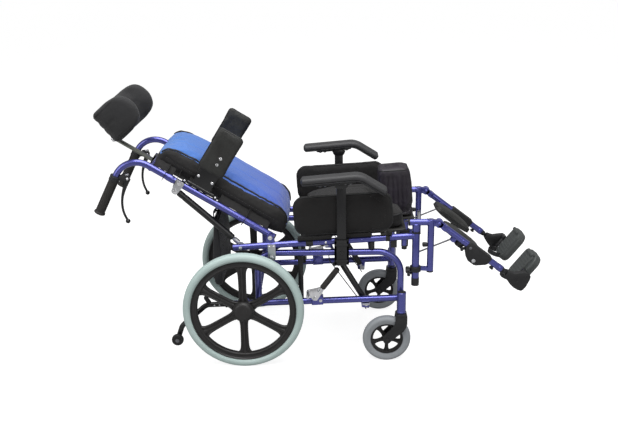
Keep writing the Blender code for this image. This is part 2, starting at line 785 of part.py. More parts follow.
def build_parking_brake(side, chair):
    pivot_x, pivot_z = BRAKE_PIVOT
    hinge = pivot(side_name("parking_brake_pivot", side), place(pivot_x, pivot_z, side * BASE_Y), chair)
    plate_in = SEAT_Y + TUBE - 0.0015 + RUN
    plate_out = plate_in + BRAKE_PLATE
    plate = prism(((pivot_x - 0.008, pivot_z - 0.007), (pivot_x + 0.007, pivot_z - 0.009),
                   (BRAKE_KNEE[0] + 0.009, BRAKE_KNEE[1] - 0.006),
                   (BRAKE_KNEE[0] - 0.004, BRAKE_KNEE[1] + 0.006),
                   (BRAKE_SHOE[0] + 0.004, BRAKE_SHOE[1] + 0.007),
                   (BRAKE_SHOE[0] - 0.004, BRAKE_SHOE[1] - 0.002)),
                   *sorted((side * plate_in, side * plate_out)))
    grip_y = side * (plate_out + BRAKE_GRIP_OUT)
    stick = rod((BRAKE_KNEE[0] - 0.008, grip_y, BRAKE_KNEE[1] - 0.0105),
                (BRAKE_KNEE[0] + 0.012, grip_y, BRAKE_KNEE[1] + 0.016), 0.0055)
    grip = rod((BRAKE_KNEE[0] + 0.004, grip_y, BRAKE_KNEE[1] + 0.0053),
               (BRAKE_TOP[0], grip_y, BRAKE_TOP[1]), BRAKE_GRIP_R)
    tip = ball((BRAKE_TOP[0], grip_y, BRAKE_TOP[1]), BRAKE_GRIP_R)
    shoe = rod((BRAKE_SHOE[0], side * (plate_in + 0.001), BRAKE_SHOE[1]),
               (BRAKE_SHOE[0], side * (WHEEL_Y + 0.012), BRAKE_SHOE[1]), 0.006)
    hole = rod((pivot_x, side * (plate_in - 0.01), pivot_z),
               (pivot_x, side * (plate_out + 0.01), pivot_z), 0.004 + RUN, BORE_SIDES)
    part(side_name("parking_brake_lever", side), "bright_steel", hinge, [plate, stick, grip, tip, shoe],
         [hole])


# Tilt springs

def build_tilt_spring(side, chair):
    y = side * SPRING_Y
    low = Vector((SPRING_LOW[0], y, SPRING_LOW[1]))
    top = Vector((SPRING_TOP[0], y, SPRING_TOP[1]))
    along = (top - low).normalized()
    length = (top - low).length
    half = SPRING_EYE_WIDTH / 2
    hinge = pivot(side_name("tilt_spring_foot", side), Matrix.Translation(low), chair)
    eye = rod(low - Vector((0, half, 0)), low + Vector((0, half, 0)), SPRING_EYE)
    neck = rod(low, low + along * 0.030, 0.0045)
    body = rod(low + along * 0.016, low + along * (length - 0.058), SPRING_R, 10)
    hole = rod(low - Vector((0, 0.02, 0)), low + Vector((0, 0.02, 0)), SPRING_PIN + RUN, BORE_SIDES)
    bore = rod(low + along * (length - 0.160), low + along * (length - 0.04), SPRING_ROD_R + RUN,
               BORE_SIDES)
    part(side_name("tilt_spring_cylinder", side), "black_steel", hinge, [eye, neck, body], [hole, bore])
    slide = pivot(side_name("tilt_spring_slide", side), Matrix.Translation(top), hinge)
    shaft = rod(low + along * (length - 0.156), top, SPRING_ROD_R, BORE_SIDES)
    head = rod(top - Vector((0, half, 0)), top + Vector((0, half, 0)), SPRING_EYE)
    part(side_name("tilt_spring_rod", side), "bright_steel", slide, [shaft, head])


# Seat

def build_seat_rail(side, seat):
    y = side * SEAT_Y
    rail = rod((RAIL_REAR, y, rail_height(RAIL_REAR)), (POST_X, y, rail_height(POST_X)), TUBE)
    post = rod((POST_X, y, POST_LOW), (POST_X, y, POST_TOP), POST_R)
    lug = rod((POST_X - 0.038, y, 0.395), (POST_X - 0.038, y, rail_height(POST_X - 0.038)), 0.008)
    latch = box((0.487, y - 0.003, 0.396), (0.507, y + 0.003, rail_height(0.497)))
    stop_foot = BASE_TOP + TUBE + RUN
    stop = rod((CROSS_FRONT_X, side * (BASE_Y + 0.003), stop_foot),
               (CROSS_FRONT_X, side * (BASE_Y + 0.003), rail_height(CROSS_FRONT_X)), 0.0085)
    tilt_x, tilt_z = TILT_PIVOT
    plate_in = SEAT_Y + TUBE - 0.002
    plate = prism(((tilt_x - 0.012, tilt_z - 0.006), (tilt_x - 0.005, tilt_z - 0.012),
                   (tilt_x + 0.006, tilt_z - 0.012),
                   (tilt_x + 0.013, tilt_z - 0.005), (tilt_x + 0.013, rail_height(tilt_x) + 0.006),
                   (tilt_x - 0.012, rail_height(tilt_x) + 0.006)),
                   *sorted((side * plate_in, side * (plate_in + TILT_PLATE))))
    hinge_x, hinge_z = RECLINE
    ear_in = BACK_Y + TUBE + 0.004
    ear = prism(((hinge_x - 0.016, rail_height(hinge_x)), (hinge_x + 0.016, rail_height(hinge_x)),
                 (hinge_x + 0.010, hinge_z + 0.009), (hinge_x - 0.008, hinge_z + 0.011)),
                *sorted((side * ear_in, side * (SEAT_Y + 0.006))))
    pin_end = BACK_Y - TUBE - 0.0045
    pin = rod((hinge_x, side * (ear_in + 0.004), hinge_z), (hinge_x, side * pin_end, hinge_z), HINGE_PIN)
    head = rod((hinge_x, side * (pin_end + 0.003), hinge_z), (hinge_x, side * pin_end, hinge_z), 0.0075)
    strut_y = BACK_Y
    strut_z = rail_height(STRUT_LOW_X)
    strut_pin = rod((STRUT_LOW_X, y, strut_z), (STRUT_LOW_X,
                                                side * (strut_y - STRUT_EYE_WIDTH / 2 - 0.002), strut_z),
                                                STRUT_PIN)
    shoulder = rod((STRUT_LOW_X, y, strut_z), (STRUT_LOW_X, side * (strut_y + STRUT_EYE_WIDTH / 2 + RUN),
                                               strut_z), 0.0075)
    receiver_in = ARM_Y - RECEIVER_DEEP / 2
    receiver = box((ARM_X - RECEIVER_WIDE / 2, side * receiver_in, RECEIVER_LOW),
                   (ARM_X + RECEIVER_WIDE / 2, side * (ARM_Y + RECEIVER_DEEP / 2), RECEIVER_HIGH))
    bridge = box((ARM_X - 0.016, side * (SEAT_Y + 0.003), RECEIVER_HIGH - 0.030),
                 (ARM_X + 0.016, side * (receiver_in + 0.003), RECEIVER_HIGH))
    spring_x, spring_z = SPRING_TOP
    lug_in = SPRING_Y + SPRING_EYE_WIDTH / 2 + RUN
    spring_lug = prism(((spring_x - 0.011, spring_z - 0.010), (spring_x + 0.011, spring_z - 0.010),
                        (spring_x + 0.014, rail_height(spring_x)),
                        (spring_x - 0.014, rail_height(spring_x))),
                       *sorted((side * lug_in, side * (SEAT_Y - 0.006))))
    bore = rod((POST_X, y, POST_BORE_LOW), (POST_X, y, POST_TOP + 0.01), POST_BORE, BORE_SIDES)
    tilt_hole = rod((tilt_x, side * (plate_in - 0.01), tilt_z),
                    (tilt_x, side * (plate_in + 0.02), tilt_z), TILT_PIN + RUN, BORE_SIDES)
    socket = box((ARM_X - ARM_POST_WIDE / 2 - CLEAR, side * (ARM_Y - ARM_POST_THICK / 2 - CLEAR),
                  RECEIVER_LOW - 0.01),
                 (ARM_X + ARM_POST_WIDE / 2 + CLEAR, side * (ARM_Y + ARM_POST_THICK / 2 + CLEAR),
                  RECEIVER_HIGH + 0.01))
    part(side_name("seat_rail", side), "blue_paint", seat,
         [rail, post, lug, latch, stop, plate, ear, pin, head, strut_pin, shoulder, receiver, bridge,
          spring_lug],
         [bore, tilt_hole, socket])


def build_seat(seat):
    frame = seat_frame()
    low = TUBE + CLEAR
    top = low + BOARD_THICK
    board = box((BOARD_REAR, -BOARD_Y, low), (BOARD_FRONT, BOARD_Y, top))
    ears = []
    for start in EARS:
        ears.append(box((start, -EAR_Y, low), (start + EAR_LENGTH, EAR_Y, top)))
    nose = box((BOARD_FRONT - 0.02, -POMMEL_HALF, low), (POMMEL_FRONT, POMMEL_HALF, top))
    part("seat_board", "board", seat, [board, nose] + ears, frame=frame)
    rest = top + CLEAR
    length = (BOARD_FRONT - BOARD_REAR) / 2
    middle = (BOARD_FRONT + BOARD_REAR) / 2
    levels = crowned_levels(CUSHION_THICK + CUSHION_CROWN, CUSHION_CROWN, 0.008, 0.004)
    body = cushion((middle, 0, rest), length, CUSHION_HALF, 0.030, levels)
    gap = 0.002
    notch = box((POMMEL_REAR - gap, -POMMEL_HALF - gap, rest - 0.01),
                (POMMEL_FRONT + 0.05, POMMEL_HALF + gap, rest + 0.2))
    part("seat_cushion", "black_fabric", seat, [body], [notch], frame=frame)
    build_pommel(seat, frame, rest)


def pleated(outline, pleats):
    # Points spaced along a closed outline, each with 0 on a fold's ridge and 1 in its valley
    points = [Vector((x, y)) for x, y in outline]
    reach = [0.0]
    for i, point in enumerate(points):
        reach.append(reach[-1] + (points[(i + 1) % len(points)] - point).length)
    spots = []
    for i in range(2 * pleats):
        target = reach[-1] * i / (2 * pleats)
        k = max(j for j in range(len(points)) if reach[j] <= target)
        share = (target - reach[k]) / max(reach[k + 1] - reach[k], 1e-9)
        spots.append((points[k].lerp(points[(k + 1) % len(points)], share), i % 2))
    return spots


def build_pommel(seat, frame, rest):
    # Padded post between the thighs, upright over the inclined board, drawn in at its foot and crowned on top
    levels = ((0.0, 0.005, 0.0), (0.008, 0.001, 0.0), (0.060, 0.0, 0.0), (0.120, 0.0, 0.003),
              (0.152, 0.003, 0.008), (0.168, 0.009, 0.014), (POMMEL_HEIGHT, 0.022, 0.026))
    half = (POMMEL_FRONT - POMMEL_REAR) / 2
    centre = Vector(((POMMEL_FRONT + POMMEL_REAR) / 2, 0, rest))
    rings = []
    for height, inset, lean in levels:
        outline = rounded_rectangle(half - inset - lean / 2, POMMEL_HALF - inset, 0.020 - inset * 0.4)
        rise = min(1.0, height / 0.05) * max(0.0, 1.0 - max(0.0, height - 0.10) / 0.07)
        ring = []
        for spot, wave in pleated(outline, POMMEL_PLEATS):
            depth = POMMEL_PLEAT_DEPTH * rise * wave
            ring.append(centre + Vector((spot.x - lean / 2, spot.y, height)) - Vector((spot.x / half,
                    spot.y / POMMEL_HALF, 0)) * depth)
        rings.append(ring)
    part("pommel", "black_fabric", seat, [loft(rings)], frame=frame)


def build_hip_pad(side, seat):
    rest = TUBE + 2 * CLEAR + BOARD_THICK
    seam = 0.001
    centre = ((HIP_FRONT + HIP_REAR) / 2, 0, rest + HIP_HEIGHT / 2 - seam)
    inner = HIP_IN
    half_x = (HIP_FRONT - HIP_REAR) / 2
    half_z = HIP_HEIGHT / 2
    levels = []
    for share, inset in ((0.0, 0.050), (0.08, 0.024), (0.2, 0.009), (0.36, seam), (0.5, 0.003),
                         (0.64, seam), (0.8, 0.009), (0.92, 0.024), (1.0, 0.050)):
        levels.append((side * (inner + HIP_THICK * share), inset))
    body = cushion(centre, half_x, half_z, HIP_CORNER, levels, axis="Y")
    part(side_name("hip_pad", side), "black_fabric", seat, [body], frame=seat_frame())


def build_armrest(side, seat):
    slide = pivot(side_name("armrest_slide", side), place(ARM_X, RECEIVER_HIGH, side * ARM_Y), seat)
    rise = math.atan2(PAD_KNEE[1] - PAD_REAR[1], PAD_KNEE[0] - PAD_REAR[0])
    under = PAD_THICK / 2 + CLEAR
    plate = box((PAD_PLATE_REAR, side * (PAD_Y - 0.016), -under - PAD_PLATE),
                (PAD_PLATE_FRONT, side * (PAD_Y + 0.014), -under))
    moved(plate, place(*PAD_REAR) @ Matrix.Rotation(-rise, 4, "Y"))
    post_top = PAD_REAR[1] + (ARM_X - PAD_REAR[0]) * math.tan(rise) - under - 0.003
    post = box((ARM_X - ARM_POST_WIDE / 2, side * (ARM_Y - ARM_POST_THICK / 2), ARM_POST_LOW),
               (ARM_X + ARM_POST_WIDE / 2, side * (ARM_Y + ARM_POST_THICK / 2), post_top))
    part(side_name("arm_post", side), "black_steel", slide, [post, plate])
    y = side * PAD_Y
    path = rounded_path(((PAD_REAR[0], y, PAD_REAR[1]), (PAD_KNEE[0], y, PAD_KNEE[1]),
                         (PAD_FRONT[0], y, PAD_FRONT[1])), PAD_BEND, 5)
    path.insert(1, path[0].lerp(path[1], 0.06))
    path.insert(-1, path[-1].lerp(path[-2], 0.15))
    rings = []
    for i, point in enumerate(path):
        ahead = (path[min(i + 1, len(path) - 1)] - path[max(i - 1, 0)]).normalized()
        over = ahead.cross(Vector((0, 1, 0)))
        share = 0.72 if i in (0, len(path) - 1) else 1.0
        ring = []
        for a, b in rounded_rectangle(PAD_WIDE / 2 * share, PAD_THICK / 2 * share, 0.009 * share, 2):
            ring.append(point + Vector((0, a, 0)) - over * b)
        rings.append(ring)
    part(side_name("arm_pad", side), "black_plastic", slide, [loft(rings)])


# Back

def handle_line():
    # End of the handle's bend and the direction of its straight part, up the back and in front of it
    turn = HANDLE_TURN
    end = (HANDLE_START + HANDLE_BEND * math.sin(turn), -HANDLE_BEND * (1 - math.cos(turn)))
    along = (math.cos(turn), -math.sin(turn))
    return end, along


def on_handle(distance, y):
    end, along = handle_line()
    return up_back(end[0] + along[0] * distance, y, end[1] + along[1] * distance)


def build_back_frame(back):
    tubes = []
    cuts = []
    reach = HANDLE_BEND * math.tan(HANDLE_TURN / 2)
    for side in (-1, 1):
        y = side * BACK_Y
        corner = up_back(HANDLE_START + reach, y, 0)
        tubes.append(bent_tube((up_back(BACK_FOOT, y, 0), corner, on_handle(HANDLE_END, y)), TUBE,
                               HANDLE_BEND, 6))
        cuts.append(rod(up_back(0, y - 0.02, 0), up_back(0, y + 0.02, 0), HINGE_PIN + RUN, BORE_SIDES))
        outward = side * (BACK_Y + TUBE)
        u, n = STRUT_TOP
        plate = prism(((-u - 0.014, 0.008), (-u + 0.014, 0.008), (-u + 0.010, n - 0.008),
                       (-u - 0.010, n - 0.008)),
                      *sorted((outward + side * 0.0015, outward + side * 0.0055)))
        spacer = box(up_back(u - 0.011, outward - side * 0.006, -0.006),
                     up_back(u + 0.011, outward + side * 0.003, 0.006))
        pin_tip = side * (BACK_Y + STRUT_R + RUN)
        pin = rod(up_back(u, pin_tip, n), up_back(u, outward + side * 0.008, n), 0.0055)
        tubes += [plate, spacer, pin]
        for edge in (LATERAL_LOW - SADDLE - 0.0005, LATERAL_HIGH + 0.0005):
            tubes.append(box(up_back(edge, side * (BACK_Y - 0.006), 0.0),
                             up_back(edge + SADDLE, side * (BACK_Y + 0.006), LATERAL_HINGE + 0.0065)))
    bars = []
    for u in BARS:
        bars.append(rod(up_back(u, -BACK_Y, -BAR_DROP), up_back(u, BACK_Y, -BAR_DROP), BAR_R))
    hooks = []
    bag_u, bag_n = BAG_PIVOT
    for side in (-1, 1):
        middle = side * BAG_HALF * 0.6
        hooks.append(box(up_back(bag_u - 0.004, middle - 0.008, -BAR_DROP),
                         up_back(bag_u + 0.004, middle + 0.008, bag_n)))
    hooks.append(rod(up_back(bag_u, -BAG_HALF - 0.004, bag_n), up_back(bag_u, BAG_HALF + 0.004, bag_n),
                     0.0035))
    face = HEAD_BAR_FACE
    rear = face - HEAD_BAR_THICK
    guide = box(up_back(BARS[2] - 0.016, -HEAD_BAR_HALF - 0.007, rear - 0.005),
                up_back(BARS[2] + 0.016, HEAD_BAR_HALF + 0.007, -BAR_DROP))
    slot = box(up_back(BARS[2] - 0.05, -HEAD_BAR_HALF - CLEAR, rear - CLEAR),
               up_back(BARS[2] + 0.05, HEAD_BAR_HALF + CLEAR, face + CLEAR))
    part("back_frame", "blue_paint", back, tubes + bars + hooks + [guide], cuts + [slot],
         frame=back_frame_matrix())


def build_back_cushion(back):
    # Sections across the back: blue front panel between two seams, black sides drawn in towards the tubes
    length = BACK_HIGH - BACK_LOW
    stations = []
    for along, height, width in BACK_PROFILE:
        stations.append((BACK_LOW + along * length, BACK_FACE * height, width))
    floor = BAR_R * math.cos(math.pi / SMALL_SIDES) - BAR_DROP + CLEAR
    rings = []
    for u, face, share in stations:
        crown = BACK_CROWN * min(1.0, face / BACK_FACE)
        seam = BACK_PANEL / BACK_HALF
        outline = [(0.93, floor), (1.0, floor + 0.012), (0.975, face * 0.5), (0.985, face * 0.78),
                   (seam + 0.04, face * 0.95), (seam, face), (seam * 0.67, face + crown * 0.55),
                   (seam * 0.28, face + crown * 0.93)]
        points = [up_back(u, -BACK_HALF * share * a, n) for a, n in outline]
        points += [up_back(u, BACK_HALF * share * a, n) for a, n in reversed(outline)]
        rings.append(points)
    part("back_cushion", "blue_fabric", back, [loft(rings)], frame=back_frame_matrix())


def build_handle(side, back):
    frame = back_frame_matrix()
    y = side * BACK_Y
    start = GRIP_START
    sleeve = rod(on_handle(start, y), on_handle(start + GRIP_LENGTH, y), GRIP_R, 12)
    flange = rod(on_handle(start + GRIP_LENGTH - 0.004, y), on_handle(start + GRIP_LENGTH, y),
                 GRIP_R + 0.003, 12)
    collar = rod(on_handle(0.003, y), on_handle(start + 0.002, y), GRIP_R + 0.0015, 12)
    pivot_u, pivot_n = LEVER_PIVOT
    wide = 0.0045
    arm = prism(((-pivot_u - 0.004, pivot_n + 0.009), (-pivot_u - 0.024, pivot_n + 0.001),
                 (-pivot_u - 0.024, pivot_n - 0.018), (-pivot_u - 0.016, pivot_n - 0.018),
                 (-pivot_u + 0.004, pivot_n - 0.006),
                 (-pivot_u + 0.006, pivot_n + 0.004)), y + wide, y + wide + 0.004)
    other = prism(((-pivot_u - 0.004, pivot_n + 0.009), (-pivot_u - 0.024, pivot_n + 0.001),
                   (-pivot_u - 0.024, pivot_n - 0.018), (-pivot_u - 0.016, pivot_n - 0.018),
                   (-pivot_u + 0.004, pivot_n - 0.006),
                   (-pivot_u + 0.006, pivot_n + 0.004)), y - wide - 0.004, y - wide)
    root = box(up_back(pivot_u + 0.0175, y - wide - 0.003, pivot_n - 0.003),
               up_back(pivot_u + 0.027, y + wide + 0.003, pivot_n - 0.0165))
    barrel = rod(up_back(pivot_u + 0.020, y, pivot_n - 0.006),
                 up_back(pivot_u + 0.004, y, pivot_n + 0.014), 0.0045)
    bore = rod(on_handle(-0.02, y), on_handle(HANDLE_END + 0.0015, y), TUBE + 0.0006, BORE_SIDES)
    part(side_name("handle_grip", side), "black_plastic", back,
         [sleeve, flange, collar, root, arm, other, barrel], [bore], frame=frame)
    spot = frame @ up_back(pivot_u, y, pivot_n)
    hinge = pivot(side_name("hand_lever_pivot", side),
                  Matrix.Translation(spot) @ Matrix.Rotation(BACK_ANGLE, 4, "Y"), back)
    points = [up_back(pivot_u, y, pivot_n)] + [up_back(u, y, n) for u, n in LEVER_POINTS]
    blade = bent_tube(points, LEVER_R, 0.05, 3, 8)
    moved(blade, Matrix.Translation((0, y, 0)) @ Matrix.Diagonal((1, 0.8, 1, 1)) @ Matrix.Translation((0,
            -y, 0)))
    knob = ball(points[-1], LEVER_BALL)
    eye = rod(up_back(pivot_u, y - wide + RUN, pivot_n), up_back(pivot_u, y + wide - RUN, pivot_n), 0.006)
    part(side_name("hand_lever", side), "black_steel", hinge, [blade, knob, eye], frame=frame)


def strut_points(side):
    frame = back_frame_matrix()
    y = side * BACK_Y
    top = frame @ up_back(STRUT_TOP[0], y, STRUT_TOP[1])
    low = Vector((STRUT_LOW_X, y, rail_height(STRUT_LOW_X)))
    return low, top


def build_recline_strut(side, seat):
    low, top = strut_points(side)
    along = (top - low).normalized()
    length = (top - low).length
    hinge = pivot(side_name("recline_strut_foot", side), Matrix.Translation(low), seat)
    half = STRUT_EYE_WIDTH / 2
    eye = rod(low - Vector((0, half, 0)), low + Vector((0, half, 0)), STRUT_EYE)
    shaft = rod(low + along * 0.0075, low + along * (length - 0.030), STRUT_ROD_R * 0.8, BORE_SIDES)
    clevis = rod(low + along * 0.012, low + along * 0.030, 0.0085)
    hole = rod(low - Vector((0, 0.02, 0)), low + Vector((0, 0.02, 0)), STRUT_PIN + RUN, BORE_SIDES)
    part(side_name("recline_strut_rod", side), "bright_steel", hinge, [eye, shaft, clevis], [hole])
    slide = pivot(side_name("recline_strut_slide", side), Matrix.Translation(top), hinge)
    body = rod(low + along * 0.036, top - along * 0.012, STRUT_R, 12)
    tongue = rod(top - along * 0.02, top, 0.008)
    knuckle = rod(top - Vector((0, STRUT_R - 0.0005, 0)), top + Vector((0, STRUT_R - 0.0005, 0)), 0.008)
    bore = rod(low, low + along * (length - 0.026), STRUT_ROD_R * 0.8 + RUN, BORE_SIDES)
    part(side_name("recline_strut_cylinder", side), "black_steel", slide, [body, tongue, knuckle], [bore])


def build_lateral_pad(side, back):
    frame = back_frame_matrix()
    hinge_y = side * BACK_Y
    spot = frame @ up_back((LATERAL_LOW + LATERAL_HIGH) / 2, hinge_y, LATERAL_HINGE)
    hinge = pivot(side_name("lateral_pad_hinge", side),
                  Matrix.Translation(spot) @ Matrix.Rotation(BACK_ANGLE, 4, "Y"), back)
    barrel = rod(up_back(LATERAL_LOW, hinge_y, LATERAL_HINGE),
                 up_back(LATERAL_HIGH, hinge_y, LATERAL_HINGE), LATERAL_BARREL)
    stalk = box(up_back(LATERAL_LOW + 0.016, side * (BACK_Y - 0.003), LATERAL_HINGE),
                up_back(LATERAL_HIGH - 0.016, side * (BACK_Y + 0.003), LATERAL_BASE + 0.03))
    half_u = (LATERAL_HIGH - LATERAL_LOW) / 2
    half_n = (LATERAL_TOP - LATERAL_BASE) / 2
    centre = up_back((LATERAL_LOW + LATERAL_HIGH) / 2, 0, (LATERAL_TOP + LATERAL_BASE) / 2)
    levels = []
    for depth, inset in ((0.0, 0.010), (0.002, 0.003), (0.005, 0.0), (LATERAL_THICK - 0.005, 0.0),
                         (LATERAL_THICK - 0.002, 0.003), (LATERAL_THICK, 0.010)):
        levels.append((side * (LATERAL_IN + depth), inset))
    pad = cushion(centre, half_u, half_n, 0.012, levels, axis="Y")
    part(side_name("lateral_pad", side), "black_fabric", hinge, [pad, barrel, stalk], frame=frame)


def build_headrest(back):
    frame = back_frame_matrix()
    slide_spot = frame @ up_back(BARS[2], 0, HEAD_BAR_FACE)
    turn = Matrix.Rotation(BACK_ANGLE, 4, "Y")
    slide = pivot("headrest_slide", Matrix.Translation(slide_spot) @ turn, back)
    pivot_u, pivot_n = HEAD_PIVOT
    rear = HEAD_BAR_FACE - HEAD_BAR_THICK
    bar = box(up_back(HEAD_BAR_LOW, -HEAD_BAR_HALF, rear),
              up_back(pivot_u - 0.004, HEAD_BAR_HALF, HEAD_BAR_FACE))
    eye = rod(up_back(pivot_u, -HEAD_BAR_HALF, pivot_n), up_back(pivot_u, HEAD_BAR_HALF, pivot_n), HEAD_EYE)
    part("headrest_bar", "bright_steel", slide, [bar, eye], frame=frame)
    hinge = pivot("headrest_tilt", Matrix.Translation(frame @ up_back(pivot_u, 0, pivot_n)) @ turn, slide)
    pad_frame = frame @ Matrix.Translation(up_back(pivot_u, 0, pivot_n)) @ Matrix.Rotation(HEAD_TILT, 4,
            "Y")
    part("headrest_pad", "black_fabric", hinge, headrest_bodies(), frame=pad_frame)


def headrest_bodies():
    # A wrap-round pad leaning forward about its pivot: a boxy wall behind the head and wings with domed ends
    steps = 7
    height = HEAD_HIGH - HEAD_LOW
    rings = []
    for share, inset in ((0.0, 0.013), (0.04, 0.005), (0.14, 0.0), (0.3, -0.001), (0.5, -0.002),
                         (0.7, -0.001), (0.86, 0.0), (0.96, 0.005), (1.0, 0.013)):
        lean = 2 * share - 1
        front = HEAD_FRONT - HEAD_DOME * (1 - math.sqrt(1 - lean * lean))
        rings.append(inset_outline(head_outline(front, steps), inset, HEAD_LOW + height * share))
    bodies = [wall_loft(rings, steps)]
    for side in (-1, 1):
        inside = HEAD_BAR_HALF + RUN
        bodies.append(box(up_back(-0.009, side * inside, HEAD_BACK + 0.008),
                          up_back(0.009, side * (inside + 0.004), -HEAD_EYE)))
    return bodies


def head_outline(front, steps):
    # The wall seen from above, between its back and the front of its wings
    deep = front - HEAD_BACK - HEAD_THICK / 2
    outer = []
    inner = []
    for i in range(steps + 1):
        angle = math.pi * i / steps
        across = math.copysign(abs(math.cos(angle)) ** 0.35, math.cos(angle))
        outer.append((-HEAD_HALF * across, HEAD_BACK + deep * (1 - math.sin(angle) ** 0.3)))
    for i in range(steps + 1):
        angle = math.pi * (1 - i / steps)
        half = HEAD_HALF - HEAD_THICK
        inner.append((-half * math.cos(angle),
                      HEAD_BACK + HEAD_THICK + (deep - HEAD_THICK) * (1 - math.sin(angle) ** 0.8)))
    mid = HEAD_HALF - HEAD_THICK / 2
    right = [(mid + 0.012, front - 0.004), (mid - 0.010, front - 0.003)]
    left = [(-a, n) for a, n in reversed(right)]
    return outer + right + inner + left


def wall_loft(rings, steps):
    # A curved wall: its ends are closed by quads from the outer line to the inner one
    bm = bmesh.new()
    rows = [[bm.verts.new(point) for point in ring] for ring in rings]
    count = len(rows[0])
    for first, second in zip(rows, rows[1:]):
        for i in range(count):
            j = (i + 1) % count
            bm.faces.new((first[i], first[j], second[j], second[i]))
    inner_last = 2 * steps + 3
    for row in (rows[0], rows[-1]):
        for i in range(steps):
            bm.faces.new((row[i], row[i + 1], row[inner_last - i - 1], row[inner_last - i]))
        bm.faces.new(row[steps:steps + 4])
        bm.faces.new((row[inner_last], row[inner_last + 1], row[inner_last + 2], row[0]))
    return closed(bm)


def inset_outline(outline, inset, u):
    # The outline moved inwards by an even amount at each point, at the height u
    points = []
    count = len(outline)
    for i in range(count):
        before = Vector(outline[i - 1])
        after = Vector(outline[(i + 1) % count])
        along = (after - before).normalized()
        inward = Vector((-along.y, along.x))
        spot = Vector(outline[i]) + inward * inset
        points.append(up_back(u, spot.x, spot.y))
    return points


def build_storage_bag(back):
    frame = back_frame_matrix()
    spot = frame @ up_back(BAG_PIVOT[0], 0, BAG_PIVOT[1])
    hinge = pivot("storage_bag_hook", Matrix.Translation(spot), back)
    levels = ((-BAG_TOP, 0.006, 0.35), (-BAG_TOP - 0.010, 0.003, 0.55), (-0.100, 0.0, 0.8),
              (-0.180, 0.002, 1.0),
              (-BAG_BOTTOM + 0.014, 0.004, 0.95), (-BAG_BOTTOM, 0.016, 0.6))
    rings = []
    for height, inset, share in levels:
        ring = []
        for x, y in rounded_rectangle(BAG_THICK / 2 * share, BAG_HALF - inset, 0.0045, 2):
            ring.append(spot + Vector((x, y, height)))
        rings.append(ring)
    bodies = [loft(rings)]
    for side in (-1, 1):
        y = side * BAG_HALF * 0.9
        bodies.append(box(spot + Vector((-0.0085, y - 0.008, -BAG_TOP - 0.006)),
                          spot + Vector((0.0085, y + 0.008, 0.008))))
    hole = rod(spot - Vector((0, BAG_HALF + 0.02, 0)), spot + Vector((0, BAG_HALF + 0.02, 0)),
               0.0035 + RUN, BORE_SIDES)
    part("storage_bag", "black_fabric", hinge, bodies, [hole])


# Legrests

def build_hanger(side, seat):
    y = side * SEAT_Y
    swing = pivot(side_name("legrest_swing", side), place(POST_X, POST_TOP, y), seat)
    top = rod((HANGER_REAR, y, HANGER_Z), (HANGER_X, y, HANGER_Z), TUBE)
    upright = rod((HANGER_X, y, HANGER_LOW), (HANGER_X, y, HANGER_Z + TUBE * 0.9), TUBE)
    pin = rod((POST_X, y, POST_BORE_LOW + 0.010), (POST_X, y, HANGER_Z), HANGER_PIN, BORE_SIDES)
    collar = rod((POST_X, y, POST_TOP + RUN), (POST_X, y, HANGER_Z - 0.004), COLLAR_R)
    eye_x, eye_z = LEG_PIVOT
    tongue = box((HANGER_X, y - LEG_EYE_HALF, eye_z - 0.009),
                 (eye_x - 0.004, y + LEG_EYE_HALF, eye_z + 0.011))
    eye = rod((eye_x, y - LEG_EYE_HALF, eye_z), (eye_x, y + LEG_EYE_HALF, eye_z), LEG_EYE, 10)
    clip = rod((POST_X, y, HANGER_LOW), (POST_X, y, HANGER_LOW + 0.018), POST_R + 0.006, 12)
    arm = box((POST_X + POST_R + 0.001, y - 0.007, HANGER_LOW + 0.001),
              (HANGER_X, y + 0.007, HANGER_LOW + 0.017))
    knob = rod((POST_X - POST_R - 0.003, y, HANGER_LOW + 0.009),
               (POST_X - POST_R - 0.020, y, HANGER_LOW + 0.009), 0.011, 8)
    release = rod((HANGER_X - 0.004, y, 0.405), (HANGER_X - 0.027, y, 0.405), 0.008, 8)
    guide_x, guide_z = RATCHET_GUIDE
    guide_y = RATCHET_Y
    plate_x = 0.005
    guide = box((guide_x - plate_x, side * (SEAT_Y - 0.006), guide_z - 0.020),
                (guide_x + plate_x, side * (guide_y - 0.009), guide_z + 0.022))
    window = box((guide_x - 0.02, side * (guide_y + 0.0052), guide_z - 0.015),
                 (guide_x + 0.02, side * (guide_y - 0.0052), guide_z + 0.017))
    clip_hole = rod((POST_X, y, HANGER_LOW - 0.01), (POST_X, y, HANGER_LOW + 0.03), POST_R + 0.0008,
                    BORE_SIDES)
    pin_hole = rod((eye_x, y - 0.02, eye_z), (eye_x, y + 0.02, eye_z), LEG_PIN + RUN, BORE_SIDES)
    part(side_name("legrest_hanger", side), "blue_paint", swing,
         [top, upright, pin, collar, tongue, eye, clip, arm, knob, release, guide],
         [clip_hole, pin_hole, window])
    return swing


